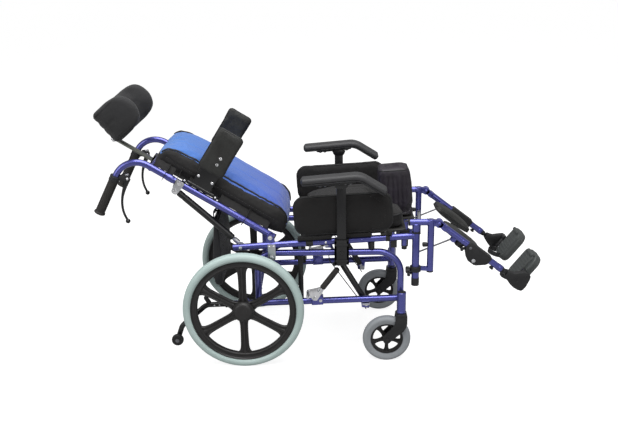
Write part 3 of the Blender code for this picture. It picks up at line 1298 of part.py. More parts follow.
def build_leg(side, swing):
    frame = leg_frame()
    y = side * SEAT_Y
    turn = Matrix.Rotation(LEG_ANGLE, 4, "Y")
    hinge = pivot(side_name("legrest_pivot", side), place(*LEG_PIVOT, y) @ turn, swing)
    tube = rod((LEG_HEAD + 0.004, y, 0), (LEG_END, y, 0), TUBE)
    cheek_in = LEG_EYE_HALF + RUN
    cheek_out = cheek_in + LEG_CHEEK
    bodies = [tube]
    for way in (-1, 1):
        bodies.append(rod((0, y + way * cheek_in, 0), (0, y + way * cheek_out, 0), LEG_EYE + 0.001, 10))
        bodies.append(box((0, y + way * cheek_in, -0.009), (LEG_HEAD + 0.010, y + way * cheek_out, 0.009)))
    bodies.append(box((LEG_HEAD, y - cheek_out - 0.001, -0.0105),
                      (LEG_HEAD + 0.014, y + cheek_out + 0.001, 0.0105)))
    bodies.append(rod((0, y - cheek_out, 0), (0, y + cheek_out, 0), LEG_PIN))
    clamp = prism(((CLAMP_START, -0.013), (CLAMP_START + 0.030, -0.042), (CLAMP_START + 0.062, -0.042),
                   (CLAMP_END, -0.014), (CLAMP_END, 0.014), (CLAMP_START, 0.014)), y - 0.0145, y + 0.0145)
    bodies.append(clamp)
    arm_in = CALF_OUT - 0.045
    arm_low = CALF_TOP - CALF_THICK - CLEAR
    arm_x = CLAMP_START - 0.030
    bodies.append(box((arm_x, side * arm_in, arm_low - 0.006),
                      (arm_x + 0.028, side * (SEAT_Y - 0.001), arm_low)))
    bodies.append(box((arm_x + 0.002, side * (SEAT_Y - TUBE + 0.001), arm_low - 0.004),
                      (arm_x + 0.026, side * (SEAT_Y - 0.003), 0.001)))
    rod_a, rod_p = RATCHET_END
    rod_face = RATCHET_Y + RATCHET_R + RUN
    bodies.append(box((rod_a - 0.009, side * rod_face, rod_p - 0.006),
                      (rod_a + 0.009, side * (SEAT_Y - 0.004), 0.0)))
    bodies.append(rod((rod_a, side * (rod_face + 0.003), rod_p),
                      (rod_a, side * (RATCHET_Y - RATCHET_R - 0.002), rod_p), 0.0022, 10))
    bore = rod((LEG_BORE_START, y, 0), (LEG_END + 0.01, y, 0), FOOT_STEM_R + RUN, BORE_SIDES)
    part(side_name("leg_tube", side), "blue_paint", hinge, bodies, [bore], frame=frame)
    build_calf_pad(side, hinge, frame)
    build_ratchet(side, hinge, frame)
    build_foot(side, hinge, frame)


def build_calf_pad(side, hinge, frame):
    half_a = (CALF_END - CALF_START) / 2
    half_y = (CALF_OUT - CALF_IN) / 2
    centre = ((CALF_START + CALF_END) / 2, side * (CALF_OUT + CALF_IN) / 2, CALF_TOP - CALF_THICK)
    levels = ((0.0, 0.010), (0.004, 0.001), (CALF_THICK * 0.5, 0.0), (CALF_THICK * 0.75, 0.002),
              (CALF_THICK * 0.93, 0.010), (CALF_THICK, 0.024))
    part(side_name("calf_pad", side), "black_fabric", hinge,
         [cushion(centre, half_a, half_y, 0.030, levels)], frame=frame)


def build_ratchet(side, hinge, frame):
    rod_a, rod_p = RATCHET_END
    y = side * RATCHET_Y
    end = frame @ Vector((rod_a, y, rod_p))
    guide = Vector((RATCHET_GUIDE[0], y, RATCHET_GUIDE[1]))
    along = (guide - end).normalized()
    spot = pivot(side_name("ratchet_rod_pivot", side), Matrix.Translation(end), hinge)
    eye = rod(end - Vector((0, RATCHET_R, 0)), end + Vector((0, RATCHET_R, 0)), 0.0065)
    bar = rod(end + along * 0.003, end + along * RATCHET_LENGTH, RATCHET_R, 8)
    hole = rod(end - Vector((0, 0.01, 0)), end + Vector((0, 0.01, 0)), 0.0022 + RUN, BORE_SIDES)
    part(side_name("ratchet_rod", side), "bright_steel", spot, [eye, bar], [hole])


def build_foot(side, hinge, frame):
    y = side * SEAT_Y
    turn = Matrix.Rotation(LEG_ANGLE, 4, "Y")
    slide = pivot(side_name("footrest_slide", side), Matrix.Translation(frame @ Vector((LEG_END, y,
            0))) @ turn, hinge)
    stem = rod((STEM_START, y, 0), (HOUSING_START + 0.010, y, 0), FOOT_STEM_R, BORE_SIDES)
    housing = prism(((HOUSING_START, -0.010), (HOUSING_START + 0.020, -0.018),
                     (HOUSING_START + 0.050, -0.024),
                     (HOUSING_END, -0.020), (HOUSING_END + 0.002, 0.000), (HOUSING_END - 0.006, 0.040),
                     (HOUSING_END - 0.030, 0.044), (HOUSING_START + 0.020, 0.016),
                     (HOUSING_START, 0.010)), y - 0.011, y + 0.011)
    hinge_a, hinge_y = PLATE_HINGE
    bodies = [stem, housing]
    for low, high in PLATE_LUGS:
        bodies.append(rod((hinge_a, side * hinge_y, low), (hinge_a, side * hinge_y, high), PLATE_BARREL))
        bodies.append(box((hinge_a - 0.0045, side * hinge_y, low),
                          (hinge_a + 0.0045, side * (SEAT_Y - 0.004), high)))
    part(side_name("footrest_stem", side), "black_steel", slide, bodies, frame=frame)
    flip = pivot(side_name("footplate_hinge", side), Matrix.Translation(frame @ Vector((hinge_a,
            side * hinge_y, 0))) @ turn, slide)
    half_y = (PLATE_OUT - PLATE_IN) / 2
    half_p = (PLATE_TOE - PLATE_HEEL) / 2
    centre_p = (PLATE_TOE + PLATE_HEEL) / 2
    rings = []
    for depth, inset in ((0.0, 0.005), (0.003, 0.0), (PLATE_THICK - 0.006, 0.0), (PLATE_THICK, 0.006)):
        ring = []
        for a, b in rounded_rectangle(half_y - inset, half_p - inset, 0.030 - inset):
            ring.append(Vector((PLATE_TOP + depth, side * (PLATE_IN + half_y) + a, centre_p + b)))
        rings.append(ring)
    low = PLATE_LUGS[0][1] + RUN
    high = PLATE_LUGS[1][0] - RUN
    barrel = rod((hinge_a, side * hinge_y, low), (hinge_a, side * hinge_y, high), PLATE_BARREL)
    leaf = box((hinge_a, side * (hinge_y - 0.030), low), (PLATE_TOP + 0.002, side * (hinge_y - 0.001),
                                                          high))
    part(side_name("footplate", side), "black_plastic", flip, [loft(rings), barrel, leaf], frame=frame)


# Assembly

def build_side(side, chair, seat, back):
    build_base_side(side, chair)
    build_rear_wheel(side, chair)
    build_castor(side, chair)
    build_antitip(side, chair)
    build_parking_brake(side, chair)
    build_tilt_spring(side, chair)
    build_seat_rail(side, seat)
    build_hip_pad(side, seat)
    build_armrest(side, seat)
    build_handle(side, back)
    build_recline_strut(side, seat)
    build_lateral_pad(side, back)
    swing = build_hanger(side, seat)
    build_leg(side, swing)


def centre_on_footprint(chair):
    # The chair's origin goes under the middle of its bounding box
    low = Vector((math.inf, math.inf, math.inf))
    high = -low
    bpy.context.view_layer.update()
    for obj in bpy.data.objects:
        if obj.type == "MESH":
            for vertex in obj.data.vertices:
                spot = obj.matrix_world @ vertex.co
                low = Vector(map(min, low, spot))
                high = Vector(map(max, high, spot))
    chair.location -= Vector(((low.x + high.x) / 2, (low.y + high.y) / 2, low.z))
    bpy.context.view_layer.update()


def main():
    clear_scene()
    chair = pivot("chair", Matrix.Identity(4))
    seat = pivot("seat_tilt_pivot", place(*TILT_PIVOT), chair)
    back = pivot("recline_pivot", place(*RECLINE) @ Matrix.Rotation(BACK_ANGLE, 4, "Y"), seat)
    for side in (-1, 1):
        build_side(side, chair, seat, back)
    build_cross_tubes(chair)
    build_seat(seat)
    build_back_frame(back)
    build_back_cushion(back)
    build_headrest(back)
    build_storage_bag(back)
    centre_on_footprint(chair)


main()
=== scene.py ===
import math

import bmesh
import bpy
from mathutils import Matrix, Vector, noise
from mathutils.bvhtree import BVHTree
from mathutils.kdtree import KDTree


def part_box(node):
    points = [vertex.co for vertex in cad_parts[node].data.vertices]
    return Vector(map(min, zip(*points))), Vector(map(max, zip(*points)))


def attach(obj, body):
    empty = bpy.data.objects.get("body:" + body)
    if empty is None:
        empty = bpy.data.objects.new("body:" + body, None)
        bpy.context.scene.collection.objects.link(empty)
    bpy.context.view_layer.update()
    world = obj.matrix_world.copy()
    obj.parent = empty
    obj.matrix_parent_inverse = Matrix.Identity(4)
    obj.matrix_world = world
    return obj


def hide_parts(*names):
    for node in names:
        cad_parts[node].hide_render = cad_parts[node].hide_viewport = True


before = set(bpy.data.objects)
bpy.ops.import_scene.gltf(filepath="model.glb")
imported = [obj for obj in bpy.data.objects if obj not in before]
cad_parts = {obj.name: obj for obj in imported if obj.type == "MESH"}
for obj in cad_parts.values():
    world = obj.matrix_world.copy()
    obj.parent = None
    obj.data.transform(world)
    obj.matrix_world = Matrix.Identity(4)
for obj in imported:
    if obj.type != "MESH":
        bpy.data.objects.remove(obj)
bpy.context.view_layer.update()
print("frame loaded")

# main members, measured from the rear axle
tyreLow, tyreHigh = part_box("rear_tyre_right")
axleX = (tyreLow.x + tyreHigh.x) / 2
chairFrame = Matrix.Translation((axleX, 0, 0))
axleZ, railZ, guideZ = 0.2, 0.4042, 0.3865
seatTilt, backLean, legLean = (math.radians(angle) for angle in (3.15, 32, 38))
reclinePivot, legPivot = (0.093, 0.4365), (0.643, 0.478)
baseTubeY, seatTubeY, backTubeY, wheelY, bossIn = 0.182, 0.187, 0.163, 0.238, 0.168
tubeRadius = 0.011
rivetFace = seatTubeY + tubeRadius - 0.0008
sides = ((-1, "right"), (1, "left"))


def turnedFrame(x, z, angle, parent=chairFrame):
    return parent @ Matrix.Translation((x, 0, z)) @ Matrix.Rotation(angle, 4, "Y")


seatFrame = turnedFrame(0, railZ, -seatTilt)
backFrame = turnedFrame(*reclinePivot, backLean)
legFrame = turnedFrame(*legPivot, legLean)


# shader sockets and materials

def feed(tree, entry, value):
    if isinstance(value, Wire):
        tree.links.new(value.socket, entry)
    elif entry.type == "RGBA":
        entry.default_value = (*value, 1)
    else:
        entry.default_value = value


def combined(operation, turned=False):
    def method(self, other=None):
        return self.maths(operation, other, self) if turned else self.maths(operation, self, other)
    return method


class Wire:
    # a shader socket that takes part in arithmetic
    def __init__(self, tree, socket):
        self.tree = tree
        self.socket = socket

    def maths(self, operation, first, second=None):
        node = self.tree.nodes.new("ShaderNodeMath")
        node.operation = operation
        feed(self.tree, node.inputs[0], first)
        if second is not None:
            feed(self.tree, node.inputs[1], second)
        return Wire(self.tree, node.outputs[0])

    __add__, __radd__ = combined("ADD"), combined("ADD", True)
    __sub__, __mul__ = combined("SUBTRACT"), combined("MULTIPLY")
    __abs__, sine, greater = combined("ABSOLUTE"), combined("SINE"), combined("MAXIMUM")


class Looks:
    # one Principled material and the nodes that feed it
    def __init__(self, name, colour, roughness, **fixed):
        self.material = bpy.data.materials.new(name)
        self.material.use_nodes = True
        self.material.diffuse_color = (*colour, 1)
        self.tree = self.material.node_tree
        self.shader = self.tree.nodes["Principled BSDF"]
        self.shader.inputs["Base Color"].default_value = (*colour, 1)
        self.shader.inputs["Roughness"].default_value = roughness
        for key, value in fixed.items():
            feed(self.tree, self.shader.inputs[key.replace("_", " ")], value)

    def node(self, kind, settings, values, output=0):
        node = self.tree.nodes.new(kind)
        for key, value in settings.items():
            setattr(node, key, value)
        for key, value in values.items():
            feed(self.tree, node.inputs[key], value)
        return Wire(self.tree, node.outputs[output])

    def spot(self):
        return self.node("ShaderNodeTexCoord", {}, {}, "Object")

    def stretched(self, scale):
        return self.node("ShaderNodeMapping", {}, {"Vector": self.spot(), "Scale": scale})

    def cloud(self, scale, detail=2.0, stretch=(1, 1, 1)):
        place = self.stretched(stretch)
        return self.node("ShaderNodeTexNoise", {}, {"Vector": place, "Scale": scale, "Detail": detail},
            "Fac")

    def cells(self, scale):
        return self.node("ShaderNodeTexVoronoi", {}, {"Vector": self.spot(), "Scale": scale}, "Distance")

    def ranged(self, value, low, high, newLow=0.0, newHigh=1.0):
        values = {"Value": value, "From Min": low, "From Max": high, "To Min": newLow, "To Max": newHigh}
        return self.node("ShaderNodeMapRange", {}, values)

    def along(self, direction, origin=(0, 0, 0)):
        local = self.node("ShaderNodeVectorMath", {"operation": "SUBTRACT"}, {0: self.spot(), 1: origin})
        return self.node("ShaderNodeVectorMath", {"operation": "DOT_PRODUCT"}, {0: local, 1: direction},
            "Value")

    def mixed(self, share, first, second):
        return self.node("ShaderNodeMix", {"data_type": "RGBA"}, {0: share, 6: first, 7: second}, 2)

    def colour(self, value):
        feed(self.tree, self.shader.inputs["Base Color"], value)
        return self

    def rough(self, value):
        feed(self.tree, self.shader.inputs["Roughness"], value)
        return self

    def raised(self, height, depth):
        normal = self.node("ShaderNodeBump", {}, {"Height": height, "Distance": depth})
        feed(self.tree, self.shader.inputs["Normal"], normal)
        return self


def threads(looks, pitch):
    # over and under weave of two crossing sets of threads
    turn = 2 * math.pi / pitch
    across = looks.along((0, 1, 0)) * turn
    up = looks.along((0.5, 0, 0.866)) * turn
    forward = looks.along((0.866, 0, -0.5)) * turn
    return across.sine() * up.sine() + forward.sine() * (across + 1.57).sine()


def paint(name, colour, pale, **fixed):
    looks = Looks(name, colour, 0.3, **fixed)
    flakes = looks.ranged(looks.cells(1900.0), 0.05, 0.3, 1.0, 0.0)
    cloud = looks.cloud(16.0, 4.0)
    base = looks.mixed(looks.ranged(cloud, 0.35, 0.7), colour, tuple(0.86 * c for c in colour))
    looks.colour(looks.mixed(flakes * 0.12, base, pale))
    scuffs = looks.ranged(looks.cloud(260.0, 5.0, (1, 1, 0.25)), 0.55, 0.75, 0.0, 0.16)
    looks.rough(looks.ranged(cloud, 0.3, 0.7, 0.24, 0.32) + scuffs)
    return looks.raised(looks.cloud(420.0, 2.0), 0.00004).material


def metal(name, colour, low, high, grain=(1, 1, 1), **fixed):
    looks = Looks(name, colour, low, Metallic=1.0, **fixed)
    streaks = looks.cloud(520.0, 4.0, grain)
    stains = looks.ranged(looks.cloud(55.0, 4.0), 0.45, 0.75)
    looks.colour(looks.mixed(stains * 0.5, colour, tuple(0.72 * c for c in colour)))
    looks.rough(looks.ranged(streaks, 0.3, 0.7, low, high) + stains * 0.08)
    return looks.raised(streaks, 0.00008).material


def moulded(name, colour, low, high, pebble=900.0, depth=0.00014, **fixed):
    looks = Looks(name, colour, low, **fixed)
    pebbles = looks.cells(pebble)
    dust = looks.ranged(looks.cloud(38.0, 5.0), 0.45, 0.8)
    looks.colour(looks.mixed(dust * 0.35, colour, tuple(min(1.0, 1.5 * c + 0.01) for c in colour)))
    looks.rough(looks.ranged(pebbles, 0.0, 0.6, low, high) + dust * 0.1)
    return looks.raised(pebbles, depth).material


def woven(name, colour, pale, pitch, roughness, depth=0.0003, **fixed):
    looks = Looks(name, colour, roughness, **fixed)
    weave = threads(looks, pitch)
    fade = looks.ranged(looks.cloud(14.0, 4.0), 0.35, 0.75)
    fluff = looks.cloud(1400.0, 2.0)
    base = looks.mixed(fade, colour, pale)
    looks.colour(looks.mixed(looks.ranged(weave, -1.2, 1.4) * 0.45, base, tuple(0.55 * c for c in colour)))
    looks.rough(looks.ranged(fade + fluff * 0.4, 0.2, 1.1, roughness - 0.06, roughness + 0.08))
    folds = looks.cloud(48.0, 3.0)
    return looks.raised(weave * 0.3 + fluff * 0.5 + folds * 6.0, depth).material


def leather(name, colour, pale, low, high, **fixed):
    looks = Looks(name, colour, low, **fixed)
    grain = looks.cells(620.0) + looks.cells(1500.0) * 0.4
    soft = looks.cloud(26.0, 4.0)
    looks.colour(looks.mixed(looks.ranged(soft, 0.35, 0.75), colour, pale))
    looks.rough(looks.ranged(grain, 0.1, 0.9, low, high) + soft * 0.08)
    return looks.raised(grain + soft * 9.0, 0.00035).material


def tyre(name, colour, pale, centre, width):
    looks = Looks(name, colour, 0.62)
    smears = looks.ranged(looks.cloud(11.0, 5.0), 0.3, 0.75)
    specks = looks.ranged(looks.cloud(190.0, 3.0), 0.62, 0.8)
    tread = looks.ranged(abs(looks.along((0, 1, 0))) - centre, -width, width)
    worn = looks.ranged(abs(tread - 0.5), 0.0, 0.3, 1.0, 0.0)
    base = looks.mixed(smears, colour, pale)
    base = looks.mixed(worn * 0.16, base, tuple(0.6 * c for c in colour))
    looks.colour(looks.mixed(specks * 0.22, base, tuple(0.45 * c for c in colour)))
    looks.rough(looks.ranged(looks.cloud(85.0, 3.0), 0.3, 0.7, 0.5, 0.68))
    return looks.raised(looks.cells(760.0) + smears, 0.0002).material


bluePaint = paint("bluePaint", (0.08, 0.086, 0.37), (0.2, 0.23, 0.6), Metallic=0.8, Coat_Weight=1.0,
    Coat_Roughness=0.07)
blackPaint = paint("blackPaint", (0.006, 0.006, 0.007), (0.016, 0.016, 0.018), Coat_Weight=0.08,
    Coat_Roughness=0.3)
chrome = metal("chrome", (0.8, 0.8, 0.82), 0.12, 0.24)
zinc = metal("zinc", (0.6, 0.61, 0.63), 0.28, 0.46, (1, 1, 0.1))
darkSteel = metal("darkSteel", (0.2, 0.2, 0.215), 0.3, 0.44)
oliveSteel = metal("oliveSteel", (0.22, 0.23, 0.2), 0.3, 0.44, (0.1, 1, 1))
blackPlastic = moulded("blackPlastic", (0.008, 0.008, 0.009), 0.42, 0.56)
rimPlastic = moulded("rimPlastic", (0.011, 0.01, 0.01), 0.3, 0.46, 700.0, 0.0001)
gripRubber = moulded("gripRubber", (0.016, 0.014, 0.012), 0.5, 0.64, 1300.0, 0.0002)
armFoam = moulded("armFoam", (0.026, 0.026, 0.028), 0.42, 0.54, 1100.0, 0.00016)
plateRubber = moulded("plateRubber", (0.046, 0.051, 0.05), 0.46, 0.6, 800.0, 0.0002)
blackCloth = woven("blackCloth", (0.005, 0.0045, 0.0045), (0.011, 0.01, 0.01), 0.0016, 0.8,
    Sheen_Weight=0.06)
velour = woven("velour", (0.0035, 0.003, 0.003), (0.008, 0.007, 0.007), 0.0011, 0.88, 0.0002,
    Sheen_Weight=0.1, Sheen_Roughness=0.4)
webbing = woven("webbing", (0.009, 0.009, 0.01), (0.016, 0.016, 0.017), 0.003, 0.7, 0.0005)
nylon = woven("nylon", (0.009, 0.009, 0.011), (0.022, 0.022, 0.025), 0.0012, 0.62, 0.0003, Sheen_Weight=0.1)
skai = leather("skai", (0.01, 0.01, 0.009), (0.022, 0.023, 0.021), 0.34, 0.5)
pleated = leather("pleated", (0.011, 0.008, 0.013), (0.024, 0.019, 0.029), 0.3, 0.46)
charcoal = woven("charcoal", (0.008, 0.008, 0.009), (0.02, 0.02, 0.022), 0.0015, 0.76, Sheen_Weight=0.12)
piping = moulded("piping", (0.008, 0.008, 0.009), 0.42, 0.55, 2200.0, 0.0001)
stitching = woven("stitching", (0.05, 0.05, 0.052), (0.08, 0.08, 0.085), 0.0008, 0.7, 0.0001)
boardWood = moulded("boardWood", (0.022, 0.021, 0.02), 0.5, 0.62, 300.0, 0.0001)
rearTyreLooks = tyre("rearTyre", (0.385, 0.485, 0.465), (0.46, 0.56, 0.54), 0.238, 0.018)
castorTyreLooks = tyre("castorTyre", (0.245, 0.262, 0.28), (0.31, 0.325, 0.34), 0.207, 0.015)
# black for discs that stand for holes: painted shade where the holes are
holeShade = moulded("holeShade", (0.008, 0.008, 0.008), 0.5, 0.6, 1500.0, 0.0001)
print("materials made")


# shapes, each a bmesh in the frame it is placed by

def skinned(rings, looped=False):
    shape = bmesh.new()
    rows = [[shape.verts.new(point) for point in ring] for ring in rings]
    count = len(rows[0])
    pairs = list(zip(rows, rows[1:]))
    if looped:
        pairs.append((rows[-1], rows[0]))
    for first, second in pairs:
        for i in range(count):
            j = (i + 1) % count
            shape.faces.new((first[i], first[j], second[j], second[i]))
    if not looped:
        shape.faces.new(list(reversed(rows[0])))
        shape.faces.new(rows[-1])
    return facingOut(shape)


def facingOut(shape):
    bmesh.ops.recalc_face_normals(shape, faces=shape.faces)
    if shape.calc_volume(signed=True) < 0:
        bmesh.ops.reverse_faces(shape, faces=shape.faces)
    return shape


def frameAlong(direction):
    direction = Vector(direction).normalized()
    side = Vector((0, 1, 0)) - direction * direction.y
    if side.length < 0.1:
        side = Vector((0, 0, 1)) - direction * direction.z
    side.normalize()
    return direction, side, direction.cross(side)


def spun(start, end, profile, sides=32, lobes=0, depth=0.0):
    # turned along the line from start to end: each step is (distance, radius)
    start = Vector(start)
    direction, side, over = frameAlong(Vector(end) - start)
    rings = []
    for distance, radius in profile:
        ring = []
        for i in range(sides):
            angle = 2 * math.pi * (i + 0.5) / sides
            reach = max(radius, 0.0002) - depth * (0.5 - 0.5 * math.cos(lobes * angle))
            ring.append(start + direction * distance + side * math.cos(angle) * reach + over
                * math.sin(angle) * reach)
        rings.append(ring)
    return skinned(rings)


def bar(start, end, radius, sides=28, edge=0.0009):
    length = (Vector(end) - Vector(start)).length
    edge = min(edge, radius * 0.4, length * 0.4)
    profile = [(0, radius - edge), (edge * 0.3, radius - edge * 0.3), (edge, radius),
        (length - edge, radius), (length - edge * 0.3, radius - edge * 0.3), (length, radius - edge)]
    return spun(start, end, profile, sides)


def pin(centre, half, radius):
    step = Vector((0, half, 0))
    return bar(Vector(centre) - step, Vector(centre) + step, radius)


def ball(centre, radius, sides=24):
    centre = Vector(centre)
    profile = []
    for i in range(13):
        angle = math.pi * i / 12
        profile.append((radius * (1 - math.cos(angle)), radius * math.sin(angle)))
    return spun(centre - Vector((0, radius, 0)), centre + Vector((0, radius, 0)), profile, sides)


def roundOutline(radius, sides=24):
    return [(radius * math.cos(2 * math.pi * i / sides), radius * math.sin(2 * math.pi * i / sides))
        for i in range(sides)]


def swept(path, outline, looped=False, sizes=None):
    # an outline of (sideways, over) carried along a path without twist
    path = [Vector(point) for point in path]
    count = len(path)
    rings = []
    side = None
    for i, point in enumerate(path):
        before = path[i - 1] if looped or i else path[0]
        after = path[(i + 1) % count] if looped or i < count - 1 else path[-1]
        direction = (after - before).normalized()
        if side is None:
            side = frameAlong(direction)[1]
        side = (side - direction * side.dot(direction)).normalized()
        over = direction.cross(side)
        size = sizes[i] if sizes else 1.0
        rings.append([point + side * a * size + over * b * size for a, b in outline])
    return skinned(rings, looped)


def rounded(points, bend, steps=12):
    # corners of a polyline turned into arcs
    points = [Vector(point) for point in points]
    bends = bend if isinstance(bend, (list, tuple)) else [bend] * (len(points) - 2)
    path = [points[0]]
    for before, corner, after, radius in zip(points, points[1:], points[2:], bends):
        back = (before - corner).normalized()
        ahead = (after - corner).normalized()
        half = back.angle(ahead) / 2
        centre = corner + (back + ahead).normalized() * radius / math.sin(half)
        start = corner + back * radius / math.tan(half) - centre
        axis = back.cross(ahead).normalized()
        for i in range(steps + 1):
            path.append(centre + Matrix.Rotation(-(math.pi - 2 * half) * i / steps, 3, axis) @ start)
    path.append(points[-1])
    return path


def smoothLine(points, steps=10):
    # a smooth curve through the points
    points = [Vector(point) for point in points]
    ends = [points[0] * 2 - points[1]] + points + [points[-1] * 2 - points[-2]]
    path = []
    for a, b, c, d in zip(ends, ends[1:], ends[2:], ends[3:]):
        for i in range(steps):
            t = i / steps
            path.append(0.5 * (2 * b + (c - a) * t + (2 * a - 5 * b + 4 * c - d) * t * t
                + (3 * b - a - 3 * c + d) * t ** 3))
    path.append(points[-1])
    return path


def tube(points, radius, bend=0.0, sides=26, steps=14):
    path = rounded(points, bend, steps) if len(points) > 2 else [Vector(p) for p in points]
    first = (path[1] - path[0]).normalized() * 0.0008
    last = (path[-2] - path[-1]).normalized() * 0.0008
    path = [path[0], path[0] + first] + path[1:-1] + [path[-1] + last, path[-1]]
    sizes = [0.94] + [1.0] * (len(path) - 2) + [0.94]
    return swept(path, roundOutline(radius, sides), sizes=sizes)


def bevelled(shape, width):
    edges = [edge for edge in shape.edges if len(edge.link_faces) == 2 and edge.calc_face_angle() > 0.45]
    bmesh.ops.bevel(shape, geom=edges, offset=width, segments=2, profile=0.5, affect="EDGES",
        clamp_overlap=True)
    return shape


def plate(outline, low, high, edge=0.0008):
    low, high = sorted((low, high))
    first = [Vector((x, low, z)) for x, z in outline]
    second = [Vector((x, high, z)) for x, z in outline]
    return bevelled(skinned([first, second]), edge)


def block(low, high, edge=0.0008):
    xs, ys, zs = (sorted(pair) for pair in zip(low, high))
    return plate(((xs[0], zs[0]), (xs[1], zs[0]), (xs[1], zs[1]), (xs[0], zs[1])), ys[0], ys[1], edge)


def lathe(profile, centre, steps):
    # a closed profile of (radius, offset) spun about an axis along Y
    x, y, z = centre
    rows = []
    for i in range(steps):
        angle = 2 * math.pi * i / steps
        ahead, down = math.sin(angle), math.cos(angle)
        rows.append([Vector((x + radius * ahead, y + offset, z - radius * down)) for radius,
            offset in profile])
    return skinned(rows, True)


def roundedRectangle(halfX, halfY, corner, steps=8):
    points = []
    for quarter, (sx, sy) in enumerate(((1, 1), (-1, 1), (-1, -1), (1, -1))):
        for i in range(steps + 1):
            angle = math.pi / 2 * (quarter + i / steps)
            points.append((sx * (halfX - corner) + corner * math.cos(angle),
                sy * (halfY - corner) + corner * math.sin(angle)))
    return points


def mm(*values, step=2):
    # pairs, or longer steps, of metres from a row of millimetres
    return [tuple(value / 1000 for value in values[i:i + step]) for i in range(0, len(values), step)]


def doubled(profile):
    # a half section of (radius, offset) and its mirror image
    return profile + [(radius, -offset) for radius, offset in reversed(profile)]


def up(u, y, n):
    # u up the back from its hinge and n in front of its tubes
    return Vector((-u, y, n))


def hexBolt(centre, direction, radius, height):
    # washer, six-sided head and a shallow dome
    centre = Vector(centre)
    direction = Vector(direction).normalized()
    thin = height * 0.22
    washer = spun(centre, centre + direction, [(0, radius * 1.25), (thin * 0.8, radius * 1.28),
        (thin, radius * 1.2)], 28)
    head = spun(centre + direction * thin, centre + direction * height,
        [(0, radius), (height * 0.62, radius), (height * 0.74, radius * 0.86)], 6)
    dome = spun(centre + direction * height * 0.7, centre + direction * height,
        [(0, radius * 0.62), (height * 0.22, radius * 0.5), (height * 0.3, radius * 0.1)], 20)
    return [washer, head, dome]


def domeBolt(centre, direction, radius, height):
    centre = Vector(centre)
    direction = Vector(direction).normalized()
    profile = [(0, radius), (height * 0.25, radius), (height * 0.6, radius * 0.82),
        (height * 0.85, radius * 0.5), (height * 0.88, radius * 0.34), (height * 0.6, radius * 0.3),
        (height * 0.6, radius * 0.05)]
    return spun(centre, centre + direction, profile, 24)


def weldBead(centre, direction, radius):
    # an uneven ring where one tube is welded to another
    direction, side, over = frameAlong(direction)
    path = []
    sizes = []
    for i in range(40):
        angle = 2 * math.pi * i / 40
        path.append(Vector(centre) + (side * math.cos(angle) + over * math.sin(angle)) * radius)
        sizes.append(1 + 0.25 * math.sin(9 * angle))
    return swept(path, roundOutline(0.0014, 8), True, sizes)


class Piece:
    # shapes gathered into one object that rides on a body of the chair
    def __init__(self, name, body, matrix=chairFrame):
        self.name = name
        self.body = body
        self.matrix = matrix
        self.shape = bmesh.new()
        self.materials = []

    def add(self, material, *shapes, matrix=None):
        if material not in self.materials:
            self.materials.append(material)
        index = self.materials.index(material)
        for shape in shapes:
            for face in shape.faces:
                face.material_index = index
                face.smooth = True
            carrier = bpy.data.meshes.new("carrier")
            shape.transform(matrix or self.matrix)
            shape.to_mesh(carrier)
            shape.free()
            self.shape.from_mesh(carrier)
            bpy.data.meshes.remove(carrier)
        return self

    def done(self, slot, *nodes):
        mesh = bpy.data.meshes.new(self.name)
        self.shape.to_mesh(mesh)
        self.shape.free()
        for material in self.materials:
            mesh.materials.append(material)
        mesh.set_sharp_from_angle(angle=math.radians(38))
        obj = bpy.data.objects.new(self.name, mesh)
        bpy.context.scene.collection.objects.link(obj)
        return settled(obj, self.body, nodes)


def settled(obj, body, nodes=()):
    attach(obj, body)
    if nodes:
        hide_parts(*nodes)
    return obj


def railHeight(x):
    return railZ + math.tan(seatTilt) * x


# base frame

base = {"y": baseTubeY, "top": 0.38, "front": 0.521, "rear": 0.048, "foot": 0.186, "frontBend": 0.075,
    "rearBend": 0.055, "lowRear": (-0.062, 0.1985), "lowFront": 0.215, "castorY": 0.207, "swivelX": 0.523}


def lowRailHeight(x):
    rearX, rearZ = base["lowRear"]
    return rearZ + (base["lowFront"] - rearZ) / (base["front"] - rearX) * (x - rearX)


